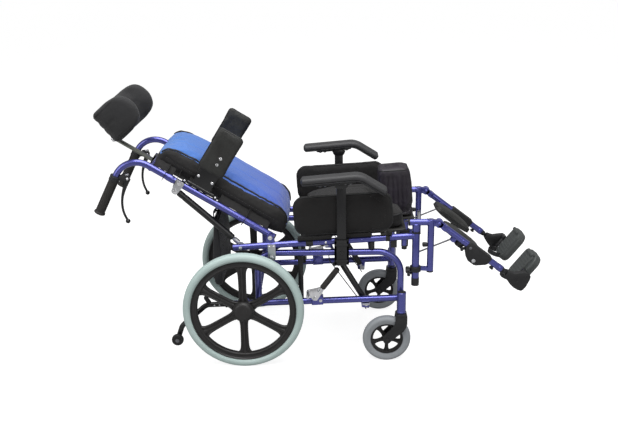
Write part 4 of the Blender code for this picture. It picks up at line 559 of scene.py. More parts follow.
def buildBase(side, word):
    y = side * base["y"]
    out = Vector((0, side, 0))
    piece = Piece("baseFrame_" + word, "base")
    rear, front, top = base["rear"], base["front"], base["top"]
    loop = tube(((front, y, base["foot"]), (front, y, top), (rear, y, top), (rear, y, lowRailHeight(rear))),
        tubeRadius, (base["frontBend"], base["rearBend"]), steps=18)
    lowX, lowZ = base["lowRear"]
    lowRail = tube(((lowX, y, lowZ), (front, y, base["lowFront"])), tubeRadius)
    outer = side * base["castorY"]
    swivelX = base["swivelX"]
    sleeve = spun((swivelX, outer, 0.173), (swivelX, outer, 0.246),
        mm(0, 14.5, 1, 15.5, 6, 15.5, 6.5, 15.1, 66, 15.1, 66.5, 15.5, 72, 15.5, 73, 14.5))
    cap = spun((swivelX, outer, 0.245), (swivelX, outer, 0.25), mm(0, 13.2, 2, 12.8, 3.5, 9, 4, 2))
    axleOut = wheelY - 0.025 - 0.0005
    boss = spun((0, side * bossIn, axleZ), (0, side * axleOut, axleZ),
        [(0, 0.0155), (0.0015, 0.017), (axleOut - bossIn - 0.0015, 0.017), (axleOut - bossIn, 0.0158)])
    piece.add(bluePaint, loop, lowRail, sleeve, boss)
    piece.add(blackPlastic, cap)
    beads = [weldBead((rear, y, lowRailHeight(rear) + tubeRadius), (0, 0, 1), tubeRadius + 0.0004),
        weldBead((front - tubeRadius, y, 0.2147), (1, 0, 0), tubeRadius + 0.0004),
        weldBead((0.426, y - side * tubeRadius, top), (0, 1, 0), 0.0102),
        weldBead((rear, y - side * tubeRadius, 0.25), (0, 1, 0), 0.0102)]
    piece.add(bluePaint, *beads)
    web = plate(((swivelX - 0.009, 0.18), (swivelX + 0.007, 0.18), (swivelX + 0.007, 0.24),
        (swivelX - 0.009, 0.24)), side * 0.188, side * 0.2, 0.002)
    piece.add(bluePaint, web)
    # upright brace, bolted near its top
    braceIn = base["y"] - tubeRadius - 0.0035
    brace = block((0.1815, side * braceIn, lowRailHeight(0.19)),
        (0.1985, side * (braceIn + 0.006), top - 0.004), 0.0012)
    piece.add(blackPaint, brace)
    piece.add(zinc, *hexBolt((0.19, side * braceIn, 0.352), -out, 0.0042, 0.0035))
    # tilt pivot
    plateOut = seatTubeY + tubeRadius - 0.002 + 0.004
    piece.add(zinc, bar((0.097, y, 0.371), (0.097, side * (plateOut - 0.0045), 0.371), 0.01),
        bar((0.097, y, 0.371), (0.097, side * (plateOut + 0.002), 0.371), 0.0048))
    piece.add(chrome, *hexBolt((0.097, side * (plateOut + 0.0005), 0.371), out, 0.0062, 0.0045))
    # lug for the tilt spring
    lugIn, lugFace = 0.156 + 0.005 + 0.0005, 0.168
    lug = plate(((0.389, lowRailHeight(0.409)), (0.393, 0.178), (0.418, 0.175),
        (0.421, lowRailHeight(0.409))), side * lugFace, side * 0.176, 0.0012)
    piece.add(bluePaint, lug)
    piece.add(zinc, bar((0.409, side * lugIn, 0.19), (0.409, side * (lugFace + 0.003), 0.19), 0.0075),
        bar((0.409, side * 0.173, 0.19), (0.409, side * 0.149, 0.19), 0.0034))
    piece.add(chrome, *hexBolt((0.409, side * 0.1765, 0.19), out, 0.0056, 0.0045))
    piece.add(zinc, block((0.394, side * 0.1765, 0.1935), (0.419, side * 0.1945, 0.2005), 0.001))
    # clamp for the parking brake
    clampOut = seatTubeY + tubeRadius - 0.0015
    clamp = plate(((0.225, 0.196), (0.264, 0.198), (0.264, 0.226), (0.246, 0.236), (0.225, 0.234)),
        side * (base["y"] - tubeRadius - 0.002), side * clampOut, 0.002)
    piece.add(bluePaint, clamp)
    piece.add(zinc, bar((0.236, y, 0.224), (0.236, side * (clampOut + 0.008), 0.224), 0.0039))
    piece.add(chrome, *hexBolt((0.236, side * (clampOut + 0.0046), 0.224), out, 0.0058, 0.004),
        *hexBolt((0.255, side * (clampOut - 0.0004), 0.213), out, 0.0042, 0.003))
    # end plugs, rivets along the rails and a thin stay to the lower rail
    piece.add(blackPlastic, bar((front, y, base["foot"] - 0.0025), (front, y, base["foot"] + 0.004),
        0.0112))
    for x, z in ((0.15, top), (0.365, top), (0.3, lowRailHeight(0.3)), (0.455, lowRailHeight(0.455))):
        piece.add(bluePaint, domeBolt((x, side * (base["y"] + tubeRadius - 0.0008), z), out, 0.0032,
            0.0016))
    inner = side * 0.1665
    stay = tube(((0.283, inner, 0.372), (0.286, inner, 0.345), (0.398, inner, 0.184),
        (0.408, inner, 0.168)), 0.0016, 0.012, 10)
    piece.add(blackPaint, stay)
    for point in ((0.283, inner + side * 0.003, 0.37), (0.392, inner + side * 0.004, 0.196)):
        piece.add(zinc, ball(point, 0.0032, 14))
    piece.done("blue_frame", "base_frame_" + word)


for side, word in sides:
    buildBase(side, word)
for stem, x, z in (("rear", 0.048, 0.25), ("front", 0.426, 0.38)):
    reach = base["y"] - tubeRadius - 0.0006
    cross = Piece(stem + "CrossTube", "base")
    cross.add(bluePaint, tube(((x, -reach, z), (x, reach, z)), 0.01))
    cross.done("blue_frame", stem + "_cross_tube")
print("base frame built")


# rear wheels

wheel = {"radius": 0.2005, "y": wheelY, "depth": 0.0252, "halfWidth": 0.018, "rimDepth": 0.022, "spokes": 6,
    "spokeHalf": 0.0118, "spokeThick": 0.0072, "capRadius": 0.0365}


def spokeShape(centre, angle, side, hubRadius, rimRadius, half, thick, flare):
    # a raised rib between two low edges, spreading into the hub and into the rim
    sweep = Vector((math.sin(angle), 0, math.cos(angle)))
    across = Vector((math.cos(angle), 0, -math.sin(angle)))
    rings = []
    steps = 22
    for i in range(steps + 1):
        reach = hubRadius + (rimRadius - hubRadius) * i / steps
        width = half * (1.02 + 0.16 * i / steps)
        width += flare * math.exp(-(rimRadius - reach)
            / (flare * 0.55)) + flare * 0.8 * math.exp(-(reach - hubRadius) / (flare * 0.6))
        ring = []
        for a, b in ((-1, 0.5), (-0.88, 0.78), (-0.7, 0.8), (-0.55, 0.52), (-0.34, 0.5), (-0.2, 0.92),
                (0, 1.0), (0.2, 0.92), (0.34, 0.5), (0.55, 0.52), (0.7, 0.8), (0.88, 0.78), (1, 0.5),
                (1, -0.45), (0.6, -0.6), (-0.6, -0.6), (-1, -0.45)):
            ring.append(centre + sweep * reach + across * a * width + Vector((0, side * b * thick, 0)))
        rings.append(ring)
    return skinned(rings)


def buildRearWheel(side, word):
    centre = Vector((0, side * wheel["y"], axleZ))
    outer = wheel["radius"]
    inner = outer - wheel["depth"]
    half = wheel["halfWidth"]
    body = "rear_wheel_" + word
    tread = [(inner - 0.0005, 0.0105), (inner + 0.001, 0.0128), (inner + 0.0035, 0.015),
        (inner + 0.006, half * 0.97), (inner + 0.0085, half), (inner + 0.009, half * 0.985),
        (inner + 0.0098, half), (inner + 0.014, half * 0.985), (inner + 0.018, half * 0.91),
        (inner + 0.0212, half * 0.78), (inner + 0.0236, half * 0.6), (inner + 0.0244, half * 0.5),
        (inner + 0.0234, half * 0.46), (inner + 0.0235, half * 0.4), (inner + 0.0248, half * 0.36),
        (inner + 0.0252, half * 0.15)]
    skin = Piece("rearTyre_" + word, body)
    skin.add(rearTyreLooks, lathe(doubled(tread), centre, 200))
    skin.done("rear_tyre", "rear_tyre_" + word)
    rim = inner - 0.0006
    rimIn = rim - wheel["rimDepth"]
    section = [(rim, 0.0118), (rim - 0.0008, 0.0134), (rim - 0.0028, 0.0136), (rim - 0.0044, 0.0118),
        (rim - 0.0056, 0.01), (rim - 0.013, 0.0086), (rim - 0.015, 0.0098), (rim - 0.0175, 0.0102),
        (rim - 0.02, 0.0088), (rimIn, 0.0052)]
    piece = Piece("rearRim_" + word, body)
    piece.add(rimPlastic, lathe(doubled(section), centre, 160))
    for i in range(wheel["spokes"]):
        angle = 2 * math.pi * i / wheel["spokes"]
        piece.add(rimPlastic, spokeShape(centre, angle, side, 0.024, rimIn + 0.004, wheel["spokeHalf"],
            wheel["spokeThick"], 0.016))
    out = Vector((0, side, 0))
    hub = [(-0.025, 0.0255), (-0.0235, 0.0275), (0.000, 0.028), (0.003, 0.0345), (0.006, 0.0362),
        (0.0095, wheel["capRadius"]), (0.0125, 0.0355), (0.0135, 0.033), (0.015, 0.0322), (0.0185, 0.03),
        (0.0215, 0.0255), (0.0235, 0.019), (0.0246, 0.011), (0.025, 0.002)]
    piece.add(rimPlastic, spun(centre, centre + out, hub, 56))
    inside = side * (bossIn + 0.003)
    piece.add(zinc, bar(centre - out * 0.02, Vector((0, inside, axleZ)), 0.0059),
        spun(centre - out * 0.0256, centre, mm(0, 12.5, 1, 13, 3, 13), 30))
    # small moulded pips between the spokes
    for i in range(wheel["spokes"]):
        angle = 2 * math.pi * (i + 0.5) / wheel["spokes"]
        spot = centre + Vector((math.sin(angle), 0, math.cos(angle))) * (rimIn + 0.0045) + out * 0.0086
        piece.add(rimPlastic, domeBolt(spot, out, 0.003, 0.0016))
    piece.done("black_plastic", "rear_rim_" + word)


for side, word in sides:
    buildRearWheel(side, word)
print("rear wheels built")


# castors

castor = {"radius": 0.0802, "halfWidth": 0.015, "tyre": 0.0265, "trail": 0.048, "cheekIn": 0.0175,
    "cheekOut": 0.0225, "crown": 0.019, "spokes": 5, "spokeHalf": 0.0052}


def buildCastor(side, word):
    x = base["swivelX"]
    y = side * base["castorY"]
    axle = x - castor["trail"]
    centre = Vector((axle, y, 0.08))
    fork = Piece("castorFork_" + word, "castor_fork_" + word)
    low, high = 0.1615, 0.1723
    reach = castor["cheekOut"]
    crown = castor["crown"]
    fork.add(blackPlastic, plate(((x - crown, low - 0.002), (x + crown, low - 0.002),
        (x + crown, high - 0.004), (x + crown - 0.005, high), (x - crown + 0.005, high),
        (x - crown, high - 0.004)), y - reach, y + reach, 0.0028))
    fork.add(zinc, spun((x, y, high - 0.001), (x, y, 0.2), mm(0, 13.5, 1.2, 14, 1.4, 13.2)))
    cheek = ((x - crown, low + 0.001), (x - crown - 0.002, 0.146), (x - crown - 0.0045, 0.132),
        (axle - 0.012, 0.094), (axle - 0.013, 0.082), (axle - 0.011, 0.072), (axle - 0.003, 0.066),
        (axle + 0.006, 0.068), (x - 0.022, 0.086), (x + 0.008, 0.112), (x + crown - 0.003, 0.127),
        (x + crown, 0.138), (x + crown, low + 0.001))
    for way in (-1, 1):
        fork.add(blackPlastic, plate(cheek, y + way * castor["cheekIn"], y + way * reach, 0.0014))
        rib = ((x - 0.01, 0.16), (axle - 0.002, 0.096), (axle + 0.003, 0.094), (x + 0.006, 0.134),
            (x + 0.012, 0.16))
        fork.add(blackPlastic, plate(rib, y + way * (reach - 0.0005), y + way * (reach + 0.0012), 0.0007),
            *hexBolt((axle, y + way * reach, 0.08), (0, way, 0), 0.0062, 0.0042))
    fork.add(zinc, pin(centre, reach, 0.0038), bar((x, y, low + 0.004), (x, y, 0.227), 0.0079))
    fork.done("black_plastic", "castor_fork_" + word)
    outer = castor["radius"]
    inner = outer - castor["tyre"]
    half = castor["halfWidth"]
    tread = [(inner, half * 0.62), (inner + 0.0012, half * 0.8), (inner + 0.006, half * 0.9),
        (inner + 0.012, half * 0.99), (inner + 0.0125, half * 0.965), (inner + 0.0132, half * 0.995),
        (inner + 0.0175, half * 0.98), (inner + 0.0215, half * 0.88), (inner + 0.0245, half * 0.66),
        (inner + 0.026, half * 0.36), (outer, half * 0.12)]
    piece = Piece("castorWheel_" + word, "castor_wheel_" + word)
    piece.add(castorTyreLooks, lathe(doubled(tread), centre, 140))
    rim = [(inner - 0.0002, half * 0.6), (inner - 0.0012, half * 0.78), (inner - 0.003, half * 0.76),
        (inner - 0.0042, half * 0.52), (inner - 0.007, half * 0.44), (inner - 0.008, half * 0.25)]
    piece.add(rimPlastic, lathe(doubled(rim), centre, 120))
    for i in range(castor["spokes"]):
        angle = math.pi / 2 - 2 * math.pi * (i + 0.75) / castor["spokes"]
        piece.add(rimPlastic, spokeShape(centre, angle, side, 0.0105, inner - 0.0062, castor["spokeHalf"],
            0.0052, 0.0082))
    out = Vector((0, side, 0))
    hub = mm(-16.5, 12.5, -15.5, 13.8, -6, 14.5, 6, 14.5, 15.5, 13.8, 16.5, 12.5)
    piece.add(rimPlastic, spun(centre, centre + out, hub, 40))
    for way in (-1, 1):
        face = centre + Vector((0, way * 0.0164, 0))
        piece.add(zinc, spun(face, face + Vector((0, way, 0)), mm(0, 9.5, 0.4, 9.5, 0.5, 9), 28))
    piece.done("castor_wheel", "castor_wheel_" + word)


for side, word in sides:
    buildCastor(side, word)
print("castors built")


# anti-tip tubes

antitip = {"radius": 0.0088, "wheel": (-0.232, 0.077), "wheelRadius": 0.0202, "width": 0.016}


def buildAntitip(side, word):
    y = side * base["y"]
    x, z = antitip["wheel"]
    piece = Piece("antitipTube_" + word, "base")
    start = -0.024
    piece.add(blackPaint, tube(((start, y, lowRailHeight(start)), (-0.13, y, lowRailHeight(-0.13)),
        (-0.217, y, 0.12), (x, y, z)), antitip["radius"], 0.035, 24, 10))
    piece.add(blackPlastic, spun((-0.06, y, lowRailHeight(-0.06)), (-0.07, y, lowRailHeight(-0.07)),
        mm(0, 11.2, 0.8, 11.8, 4.5, 11.8, 5.5, 10)))
    foot, top = Vector((-0.116, y, 0.197)), Vector((-0.134, y, 0.228))
    piece.add(blackPlastic, spun(foot, top, mm(0, 6.8, 6, 7, 10, 7.6, 28, 7.6, 33, 6.2, 35.5, 3), 26))
    inside = base["y"] + antitip["radius"] + 0.002
    outside = inside + antitip["width"]
    out = Vector((0, side, 0))
    piece.add(blackPlastic, bar((x, side * (base["y"] - antitip["radius"]), z),
        (x, side * (inside - 0.0006), z), 0.0102))
    piece.add(zinc, bar((x, y, z), (x, side * (outside + 0.002), z), 0.0039))
    piece.add(darkSteel, *hexBolt((x, side * (outside + 0.0006), z), out, 0.0054, 0.0036))
    for spot in mm(-85, 197.5, -102, 197):
        piece.add(zinc, domeBolt((spot[0], side * (base["y"] + antitip["radius"] - 0.0006), spot[1]), out,
            0.003, 0.0016))
    piece.done("black_steel", "antitip_tube_" + word)
    radius, half = antitip["wheelRadius"], antitip["width"] / 2
    middle = Vector((x, side * (inside + half), z))
    profile = [(0.0046, half * 0.9), (0.0092, half), (0.01, half * 0.75), (0.0145, half * 0.75),
        (0.0155, half * 0.98), (0.018, half * 0.95), (radius - 0.0008, half * 0.7), (radius, half * 0.3)]
    roller = Piece("antitipWheel_" + word, "antitip_wheel_" + word)
    roller.add(blackPlastic, lathe(doubled(profile), middle, 64))
    roller.done("black_plastic", "antitip_wheel_" + word)


# parking brakes

brake = {"pivot": (0.236, 0.224), "shoe": (0.214, 0.248), "knee": (0.257, 0.257), "top": (0.31, 0.327),
    "grip": 0.01}


def buildBrake(side, word):
    px, pz = brake["pivot"]
    sx, sz = brake["shoe"]
    kx, kz = brake["knee"]
    tx, tz = brake["top"]
    inside = seatTubeY + tubeRadius - 0.001
    outside = inside + 0.004
    piece = Piece("parkingBrake_" + word, "parking_brake_" + word)
    piece.add(chrome, plate(((px - 0.008, pz - 0.006), (px - 0.003, pz - 0.009), (px + 0.007, pz - 0.009),
        (kx + 0.009, kz - 0.006), (kx + 0.006, kz + 0.003), (kx - 0.004, kz + 0.006),
        (sx + 0.004, sz + 0.007), (sx - 0.003, sz + 0.006), (sx - 0.005, sz - 0.002)), side * inside,
        side * outside, 0.0009))
    gripY = side * (outside + 0.004)
    along = Vector((tx - kx, 0, tz - kz)).normalized()
    foot = Vector((kx, gripY, kz)) + along * 0.006
    piece.add(chrome, bar(Vector((kx - 0.008, gripY, kz - 0.0105)), foot + along * 0.02, 0.0054))
    length = (Vector((tx, gripY, tz)) - foot).length
    radius = brake["grip"]
    profile = [(0, radius * 0.72), (0.0015, radius * 0.92)]
    ridges = 13
    for i in range(ridges):
        start = 0.004 + (length - 0.012) * i / ridges
        profile += [(start, radius), (start + 0.003, radius), (start + 0.0038, radius * 0.92),
            (start + 0.0046, radius * 0.92)]
    profile += [(length - 0.006, radius), (length, radius * 0.98), (length + 0.004, radius * 0.82),
        (length + 0.007, radius * 0.5), (length + 0.0082, radius * 0.1)]
    piece.add(gripRubber, spun(foot, foot + along, profile, 32))
    shoeEnd = side * (wheel["y"] + 0.012)
    piece.add(zinc, spun((sx, side * (inside + 0.001), sz), (sx, shoeEnd, sz),
        mm(0, 5.5, 4, 5.8, 10, 6, 10.5, 5.4, 50, 5.4, 51.5, 4.6), 26, 13, 0.0004))
    piece.add(chrome, *hexBolt((kx, side * (outside - 0.0002), kz), (0, side, 0), 0.0045, 0.0035))
    piece.done("bright_steel", "parking_brake_lever_" + word)


# tilt springs

spring = {"y": 0.156, "low": (0.409, 0.19), "top": (0.284, 0.405)}


def buildTiltSpring(side, word):
    y = side * spring["y"]
    low = Vector((spring["low"][0], y, spring["low"][1]))
    top = Vector((spring["top"][0], y, spring["top"][1]))
    along = (top - low).normalized()
    length = (top - low).length
    cylinder = Piece("tiltSpring_" + word, "tilt_spring_body_" + word)
    end = length - 0.058
    cylinder.add(blackPaint, spun(low, top, [(0.016, 0.007), (0.018, 0.0098), (0.02, 0.01),
        (0.0205, 0.0096), (0.0255, 0.0096), (0.026, 0.01), (end - 0.01, 0.01), (end - 0.009, 0.0093),
        (end - 0.0075, 0.0093), (end - 0.0065, 0.01), (end - 0.001, 0.0099), (end, 0.008)], 36))
    cylinder.add(zinc, pin(low, 0.005, 0.008), bar(low, low + along * 0.018, 0.0045))
    cylinder.done("black_steel", "tilt_spring_cylinder_" + word)
    rod = Piece("tiltRod_" + word, "tilt_spring_shaft_" + word)
    rod.add(chrome, bar(low + along * (length - 0.15), top, 0.0049))
    rod.add(zinc, spun(top - along * 0.018, top, mm(0, 6, 0.6, 6.4, 6, 6.4, 6.6, 5), 6),
        pin(top, 0.005, 0.008))
    rod.done("bright_steel", "tilt_spring_rod_" + word)


for side, word in sides:
    buildAntitip(side, word)
    buildBrake(side, word)
    buildTiltSpring(side, word)
print("anti-tip tubes, brakes and tilt springs built")


# seat rails

seat = {"y": seatTubeY, "postX": 0.569, "postLow": 0.268, "postTop": 0.452, "armX": 0.326, "armY": 0.215}


def buildSeatRail(side, word):
    y = side * seat["y"]
    out = Vector((0, side, 0))
    post = seat["postX"]
    piece = Piece("seatRail_" + word, "seat")
    rear = -0.03
    piece.add(bluePaint, tube(((rear, y, railHeight(rear)), (post, y, railHeight(post))), tubeRadius))
    piece.add(blackPlastic, spun((rear - 0.003, y, railHeight(rear - 0.003)),
        (rear + 0.01, y, railHeight(rear + 0.01)), mm(0, 9, 0.8, 11.2, 3, 11.4, 3.4, 10)))
    piece.add(bluePaint, spun((post, y, seat["postLow"]), (post, y, seat["postTop"]),
        mm(0, 12.2, 1, 12.5, 183, 12.5, 184, 12)),
        weldBead((post - 0.0125, y, railHeight(post)), (1, 0, 0), tubeRadius + 0.0004))
    piece.add(blackPlastic, spun((post, y, 0.262), (post, y, 0.3),
        mm(0, 10.5, 1, 12.8, 26, 13.2, 28, 12.8)),
        spun((post, y, 0.4455), (post, y, 0.5), mm(0, 13.2, 0.8, 13.8, 5.6, 13.8, 6.2, 12.6)))
    # lug with its cap, latch plate and stop
    lugX = post - 0.038
    piece.add(bluePaint, bar((lugX, y, 0.395), (lugX, y, railHeight(lugX)), 0.008))
    piece.add(blackPlastic, bar((lugX, y, 0.391), (lugX, y, 0.404), 0.0088))
    piece.add(blackPaint, block((0.487, y - 0.003, 0.396), (0.507, y + 0.003, railHeight(0.497)), 0.001))
    stopY = side * (base["y"] + 0.003)
    piece.add(blackPlastic, spun((0.426, stopY, 0.3918), (0.426, stopY, 0.45),
        mm(0, 7, 1, 8.5, 24, 8.5, 26, 7)))
    # star knob that holds the hanger
    knobAt = Vector((0.5565, y, 0.305))
    piece.add(blackPlastic, spun(knobAt, knobAt - Vector((1, 0, 0)),
        mm(0, 4, 4, 4.4, 4.5, 9.6, 6, 11, 12, 11.2, 14, 9.8, 14.8, 4), 48, 6, 0.0028))
    # tilt plate
    inside = seat["y"] + tubeRadius - 0.002
    tilt = plate(((0.085, 0.365), (0.088, 0.361), (0.092, 0.359), (0.103, 0.359), (0.108, 0.362),
        (0.11, 0.366), (0.11, railHeight(0.097) + 0.006), (0.085, railHeight(0.097) + 0.006)),
        side * inside, side * (inside + 0.004), 0.0009)
    piece.add(zinc, tilt)
    for x in (0.0905, 0.1045):
        piece.add(chrome, domeBolt((x, side * (inside + 0.0038), railHeight(x) - 0.002), out, 0.0034,
            0.002))
    # recline ear and its pin
    pivotX, pivotZ = reclinePivot
    earIn = backTubeY + tubeRadius + 0.004
    ear = plate(((0.077, railHeight(0.077)), (0.109, railHeight(0.109)), (0.106, 0.432), (0.103, 0.4455),
        (0.097, 0.449), (0.089, 0.449), (0.083, 0.4455)), side * earIn, side * (seat["y"] + 0.006), 0.0016)
    pinEnd = backTubeY - tubeRadius - 0.0045
    piece.add(bluePaint, ear)
    piece.add(zinc, bar((pivotX, side * (earIn + 0.004), pivotZ), (pivotX, side * pinEnd, pivotZ), 0.0044))
    piece.add(chrome, *hexBolt((pivotX, side * (seat["y"] + 0.0058), pivotZ), out, 0.006, 0.005),
        *hexBolt((pivotX, side * (pinEnd + 0.003), pivotZ), -out, 0.006, 0.0036))
    # pin of the recline strut
    x, z = -0.005, railHeight(-0.005)
    piece.add(zinc, bar((x, y, z), (x, side * (backTubeY - 0.0045), z), 0.0039),
        bar((x, y, z), (x, side * (backTubeY + 0.003), z), 0.0074))
    piece.add(chrome, *hexBolt((x, side * (seat["y"] + tubeRadius - 0.001), z), out, 0.005, 0.004))
    # armrest receiver, clamp screw and bridge
    armX, armY = seat["armX"], seat["armY"]
    armIn = armY - 0.012
    for x0, x1, y0, y1 in mm(-23.5, 23.5, -12, -6.4, -23.5, 23.5, 6.4, 12, -23.5, -15.4, -12, 12, 15.4,
            23.5, -12, 12, step=4):
        piece.add(blackPlastic, block((armX + x0, side * (armY + y0), 0.352),
            (armX + x1, side * (armY + y1), 0.436), 0.0014))
    for z in (0.366, 0.421):
        piece.add(blackPlastic, block((armX - 0.02, side * (armY + 0.0118), z - 0.004),
            (armX + 0.02, side * (armY + 0.0132), z + 0.004), 0.0006))
    piece.add(blackPlastic, block((armX - 0.016, side * (seat["y"] + 0.003), 0.406),
        (armX + 0.016, side * (armIn + 0.003), 0.436), 0.001))
    screw = Vector((armX, side * (armY + 0.0118), 0.394))
    piece.add(blackPaint, *hexBolt(screw, out, 0.0052, 0.0042),
        plate(((armX - 0.0235, 0.357), (armX - 0.03, 0.352), (armX - 0.026, 0.346), (armX - 0.014, 0.35),
        (armX - 0.014, 0.357)), side * (armY - 0.009), side * (armY + 0.009), 0.001))
    # spring lug, bands and small screws along the rail
    lugIn = spring["y"] + 0.0055
    piece.add(bluePaint, plate(((0.273, 0.395), (0.295, 0.395), (0.298, railHeight(0.284)),
        (0.27, railHeight(0.284))), side * lugIn, side * (seat["y"] - 0.006), 0.001))
    for start, end in ((0.21, 0.233), (0.47, 0.484)):
        piece.add(webbing, bar((start, y, railHeight(start)), (end, y, railHeight(end)), 0.0122, 32,
            0.0008))
    for x, material in ((0.275, chrome), (0.15, bluePaint), (0.392, bluePaint)):
        piece.add(material, domeBolt((x, side * rivetFace, railHeight(x)), out, 0.004, 0.0022))
    piece.add(zinc, block((0.268, side * (seat["y"] - 0.004), railHeight(0.275) - 0.015),
        (0.283, side * (seat["y"] + 0.008), railHeight(0.275) - 0.01), 0.0008))
    piece.done("blue_frame", "seat_rail_" + word)


for side, word in sides:
    buildSeatRail(side, word)
print("seat rails built")


# armrests

arm = {"rear": (0.198, 0.634), "knee": (0.385, 0.649), "front": (0.468, 0.597), "y": 0.225, "half": 0.025,
    "thick": 0.012}


def buildArmrest(side, word):
    body = "armrest_" + word
    armX, armY = seat["armX"], seat["armY"]
    rear, knee = arm["rear"], arm["knee"]
    rise = math.atan2(knee[1] - rear[1], knee[0] - rear[0])
    under = arm["thick"] + 0.0005
    tilt = turnedFrame(*rear, -rise)
    post = Piece("armPost_" + word, body)
    post.add(blackPaint, block((0.046, side * (arm["y"] - 0.016), -under - 0.004),
        (0.172, side * (arm["y"] + 0.014), -under), 0.0012), matrix=tilt)
    post.add(blackPaint, block((0.052, side * (arm["y"] - 0.008), -under - 0.0075),
        (0.164, side * (arm["y"] + 0.006), -under - 0.003), 0.0016), matrix=tilt)
    for x in (0.06, 0.076, 0.14, 0.156):
        head = Vector((x, side * (arm["y"] - 0.001), -under - 0.007))
        post.add(darkSteel, *hexBolt(head, (0, 0, -1), 0.0042, 0.0035), matrix=tilt)
    top = rear[1] + (armX - rear[0]) * math.tan(rise) - under - 0.003
    post.add(blackPaint, block((armX - 0.015, side * (armY - 0.006), 0.346),
        (armX + 0.015, side * (armY + 0.006), top), 0.002))
    collar = ((armX - 0.024, top - 0.004), (armX - 0.02, top - 0.014), (armX - 0.015, top - 0.02),
        (armX + 0.015, top - 0.02), (armX + 0.02, top - 0.014), (armX + 0.024, top - 0.004))
    post.add(blackPaint, plate(collar, side * (armY - 0.008), side * (armY + 0.008), 0.001))
    # black discs at the post's adjustment holes, painted shade in the holes
    for z in (0.455, 0.475, 0.495, 0.515):
        post.add(holeShade, spun((armX, side * (armY + 0.0055), z), (armX, side * (armY + 0.0064), z),
            mm(0, 3, 0.8, 2.8), 20))
    post.done("black_steel", "arm_post_" + word)
    y = side * arm["y"]
    path = rounded(((rear[0], y, rear[1]), (knee[0], y, knee[1]), (arm["front"][0], y, arm["front"][1])),
        0.06, 14)
    line = []
    for a, b in zip(path, path[1:]):
        parts = max(1, int((b - a).length / 0.006))
        line += [a.lerp(b, i / parts) for i in range(parts)]
    line.append(path[-1])
    travelled = [0.0]
    for a, b in zip(line, line[1:]):
        travelled.append(travelled[-1] + (b - a).length)
    total = travelled[-1]
    rings = []
    for i, point in enumerate(line):
        ahead = (line[min(i + 1, len(line) - 1)] - line[max(i - 1, 0)]).normalized()
        over = Vector((0, 1, 0)).cross(ahead)
        over = over if over.z > 0 else -over
        near = min(travelled[i], total - travelled[i])
        close = math.sqrt(max(0.0, 1 - (1 - min(1.0, near / 0.01)) ** 2))
        width = arm["half"] * (0.6 + 0.4 * close)
        height = arm["thick"] * (0.45 + 0.55 * close)
        ring = []
        for a, b in roundedRectangle(width, height, height * 0.82, 6):
            crown = 0.0012 * (1 - (a / width) ** 2) if b > 0 else 0.0
            groove = -0.0008 * math.exp(-((b + height * 0.35) / 0.0012) ** 2)
            ring.append(point + Vector((0, a * (1 + groove / width * 6), 0)) + over * (b + crown))
        rings.append(ring)
    pad = Piece("armPad_" + word, body)
    pad.add(armFoam, skinned(rings))
    padObject = pad.done("arm_foam", "arm_pad_" + word)


for side, word in sides:
    buildArmrest(side, word)
print("armrests built")


# back frame, handles and levers

back = {"y": backTubeY, "foot": -0.015, "start": 0.455, "bend": 0.075, "turn": math.radians(94.6),
    "end": 0.139, "bars": (0.05, 0.195, 0.445), "drop": 0.006}


def onHandle(distance, y):
    turn = back["turn"]
    u = back["start"] + back["bend"] * math.sin(turn) + math.cos(turn) * distance
    n = -back["bend"] * (1 - math.cos(turn)) - math.sin(turn) * distance
    return up(u, y, n)


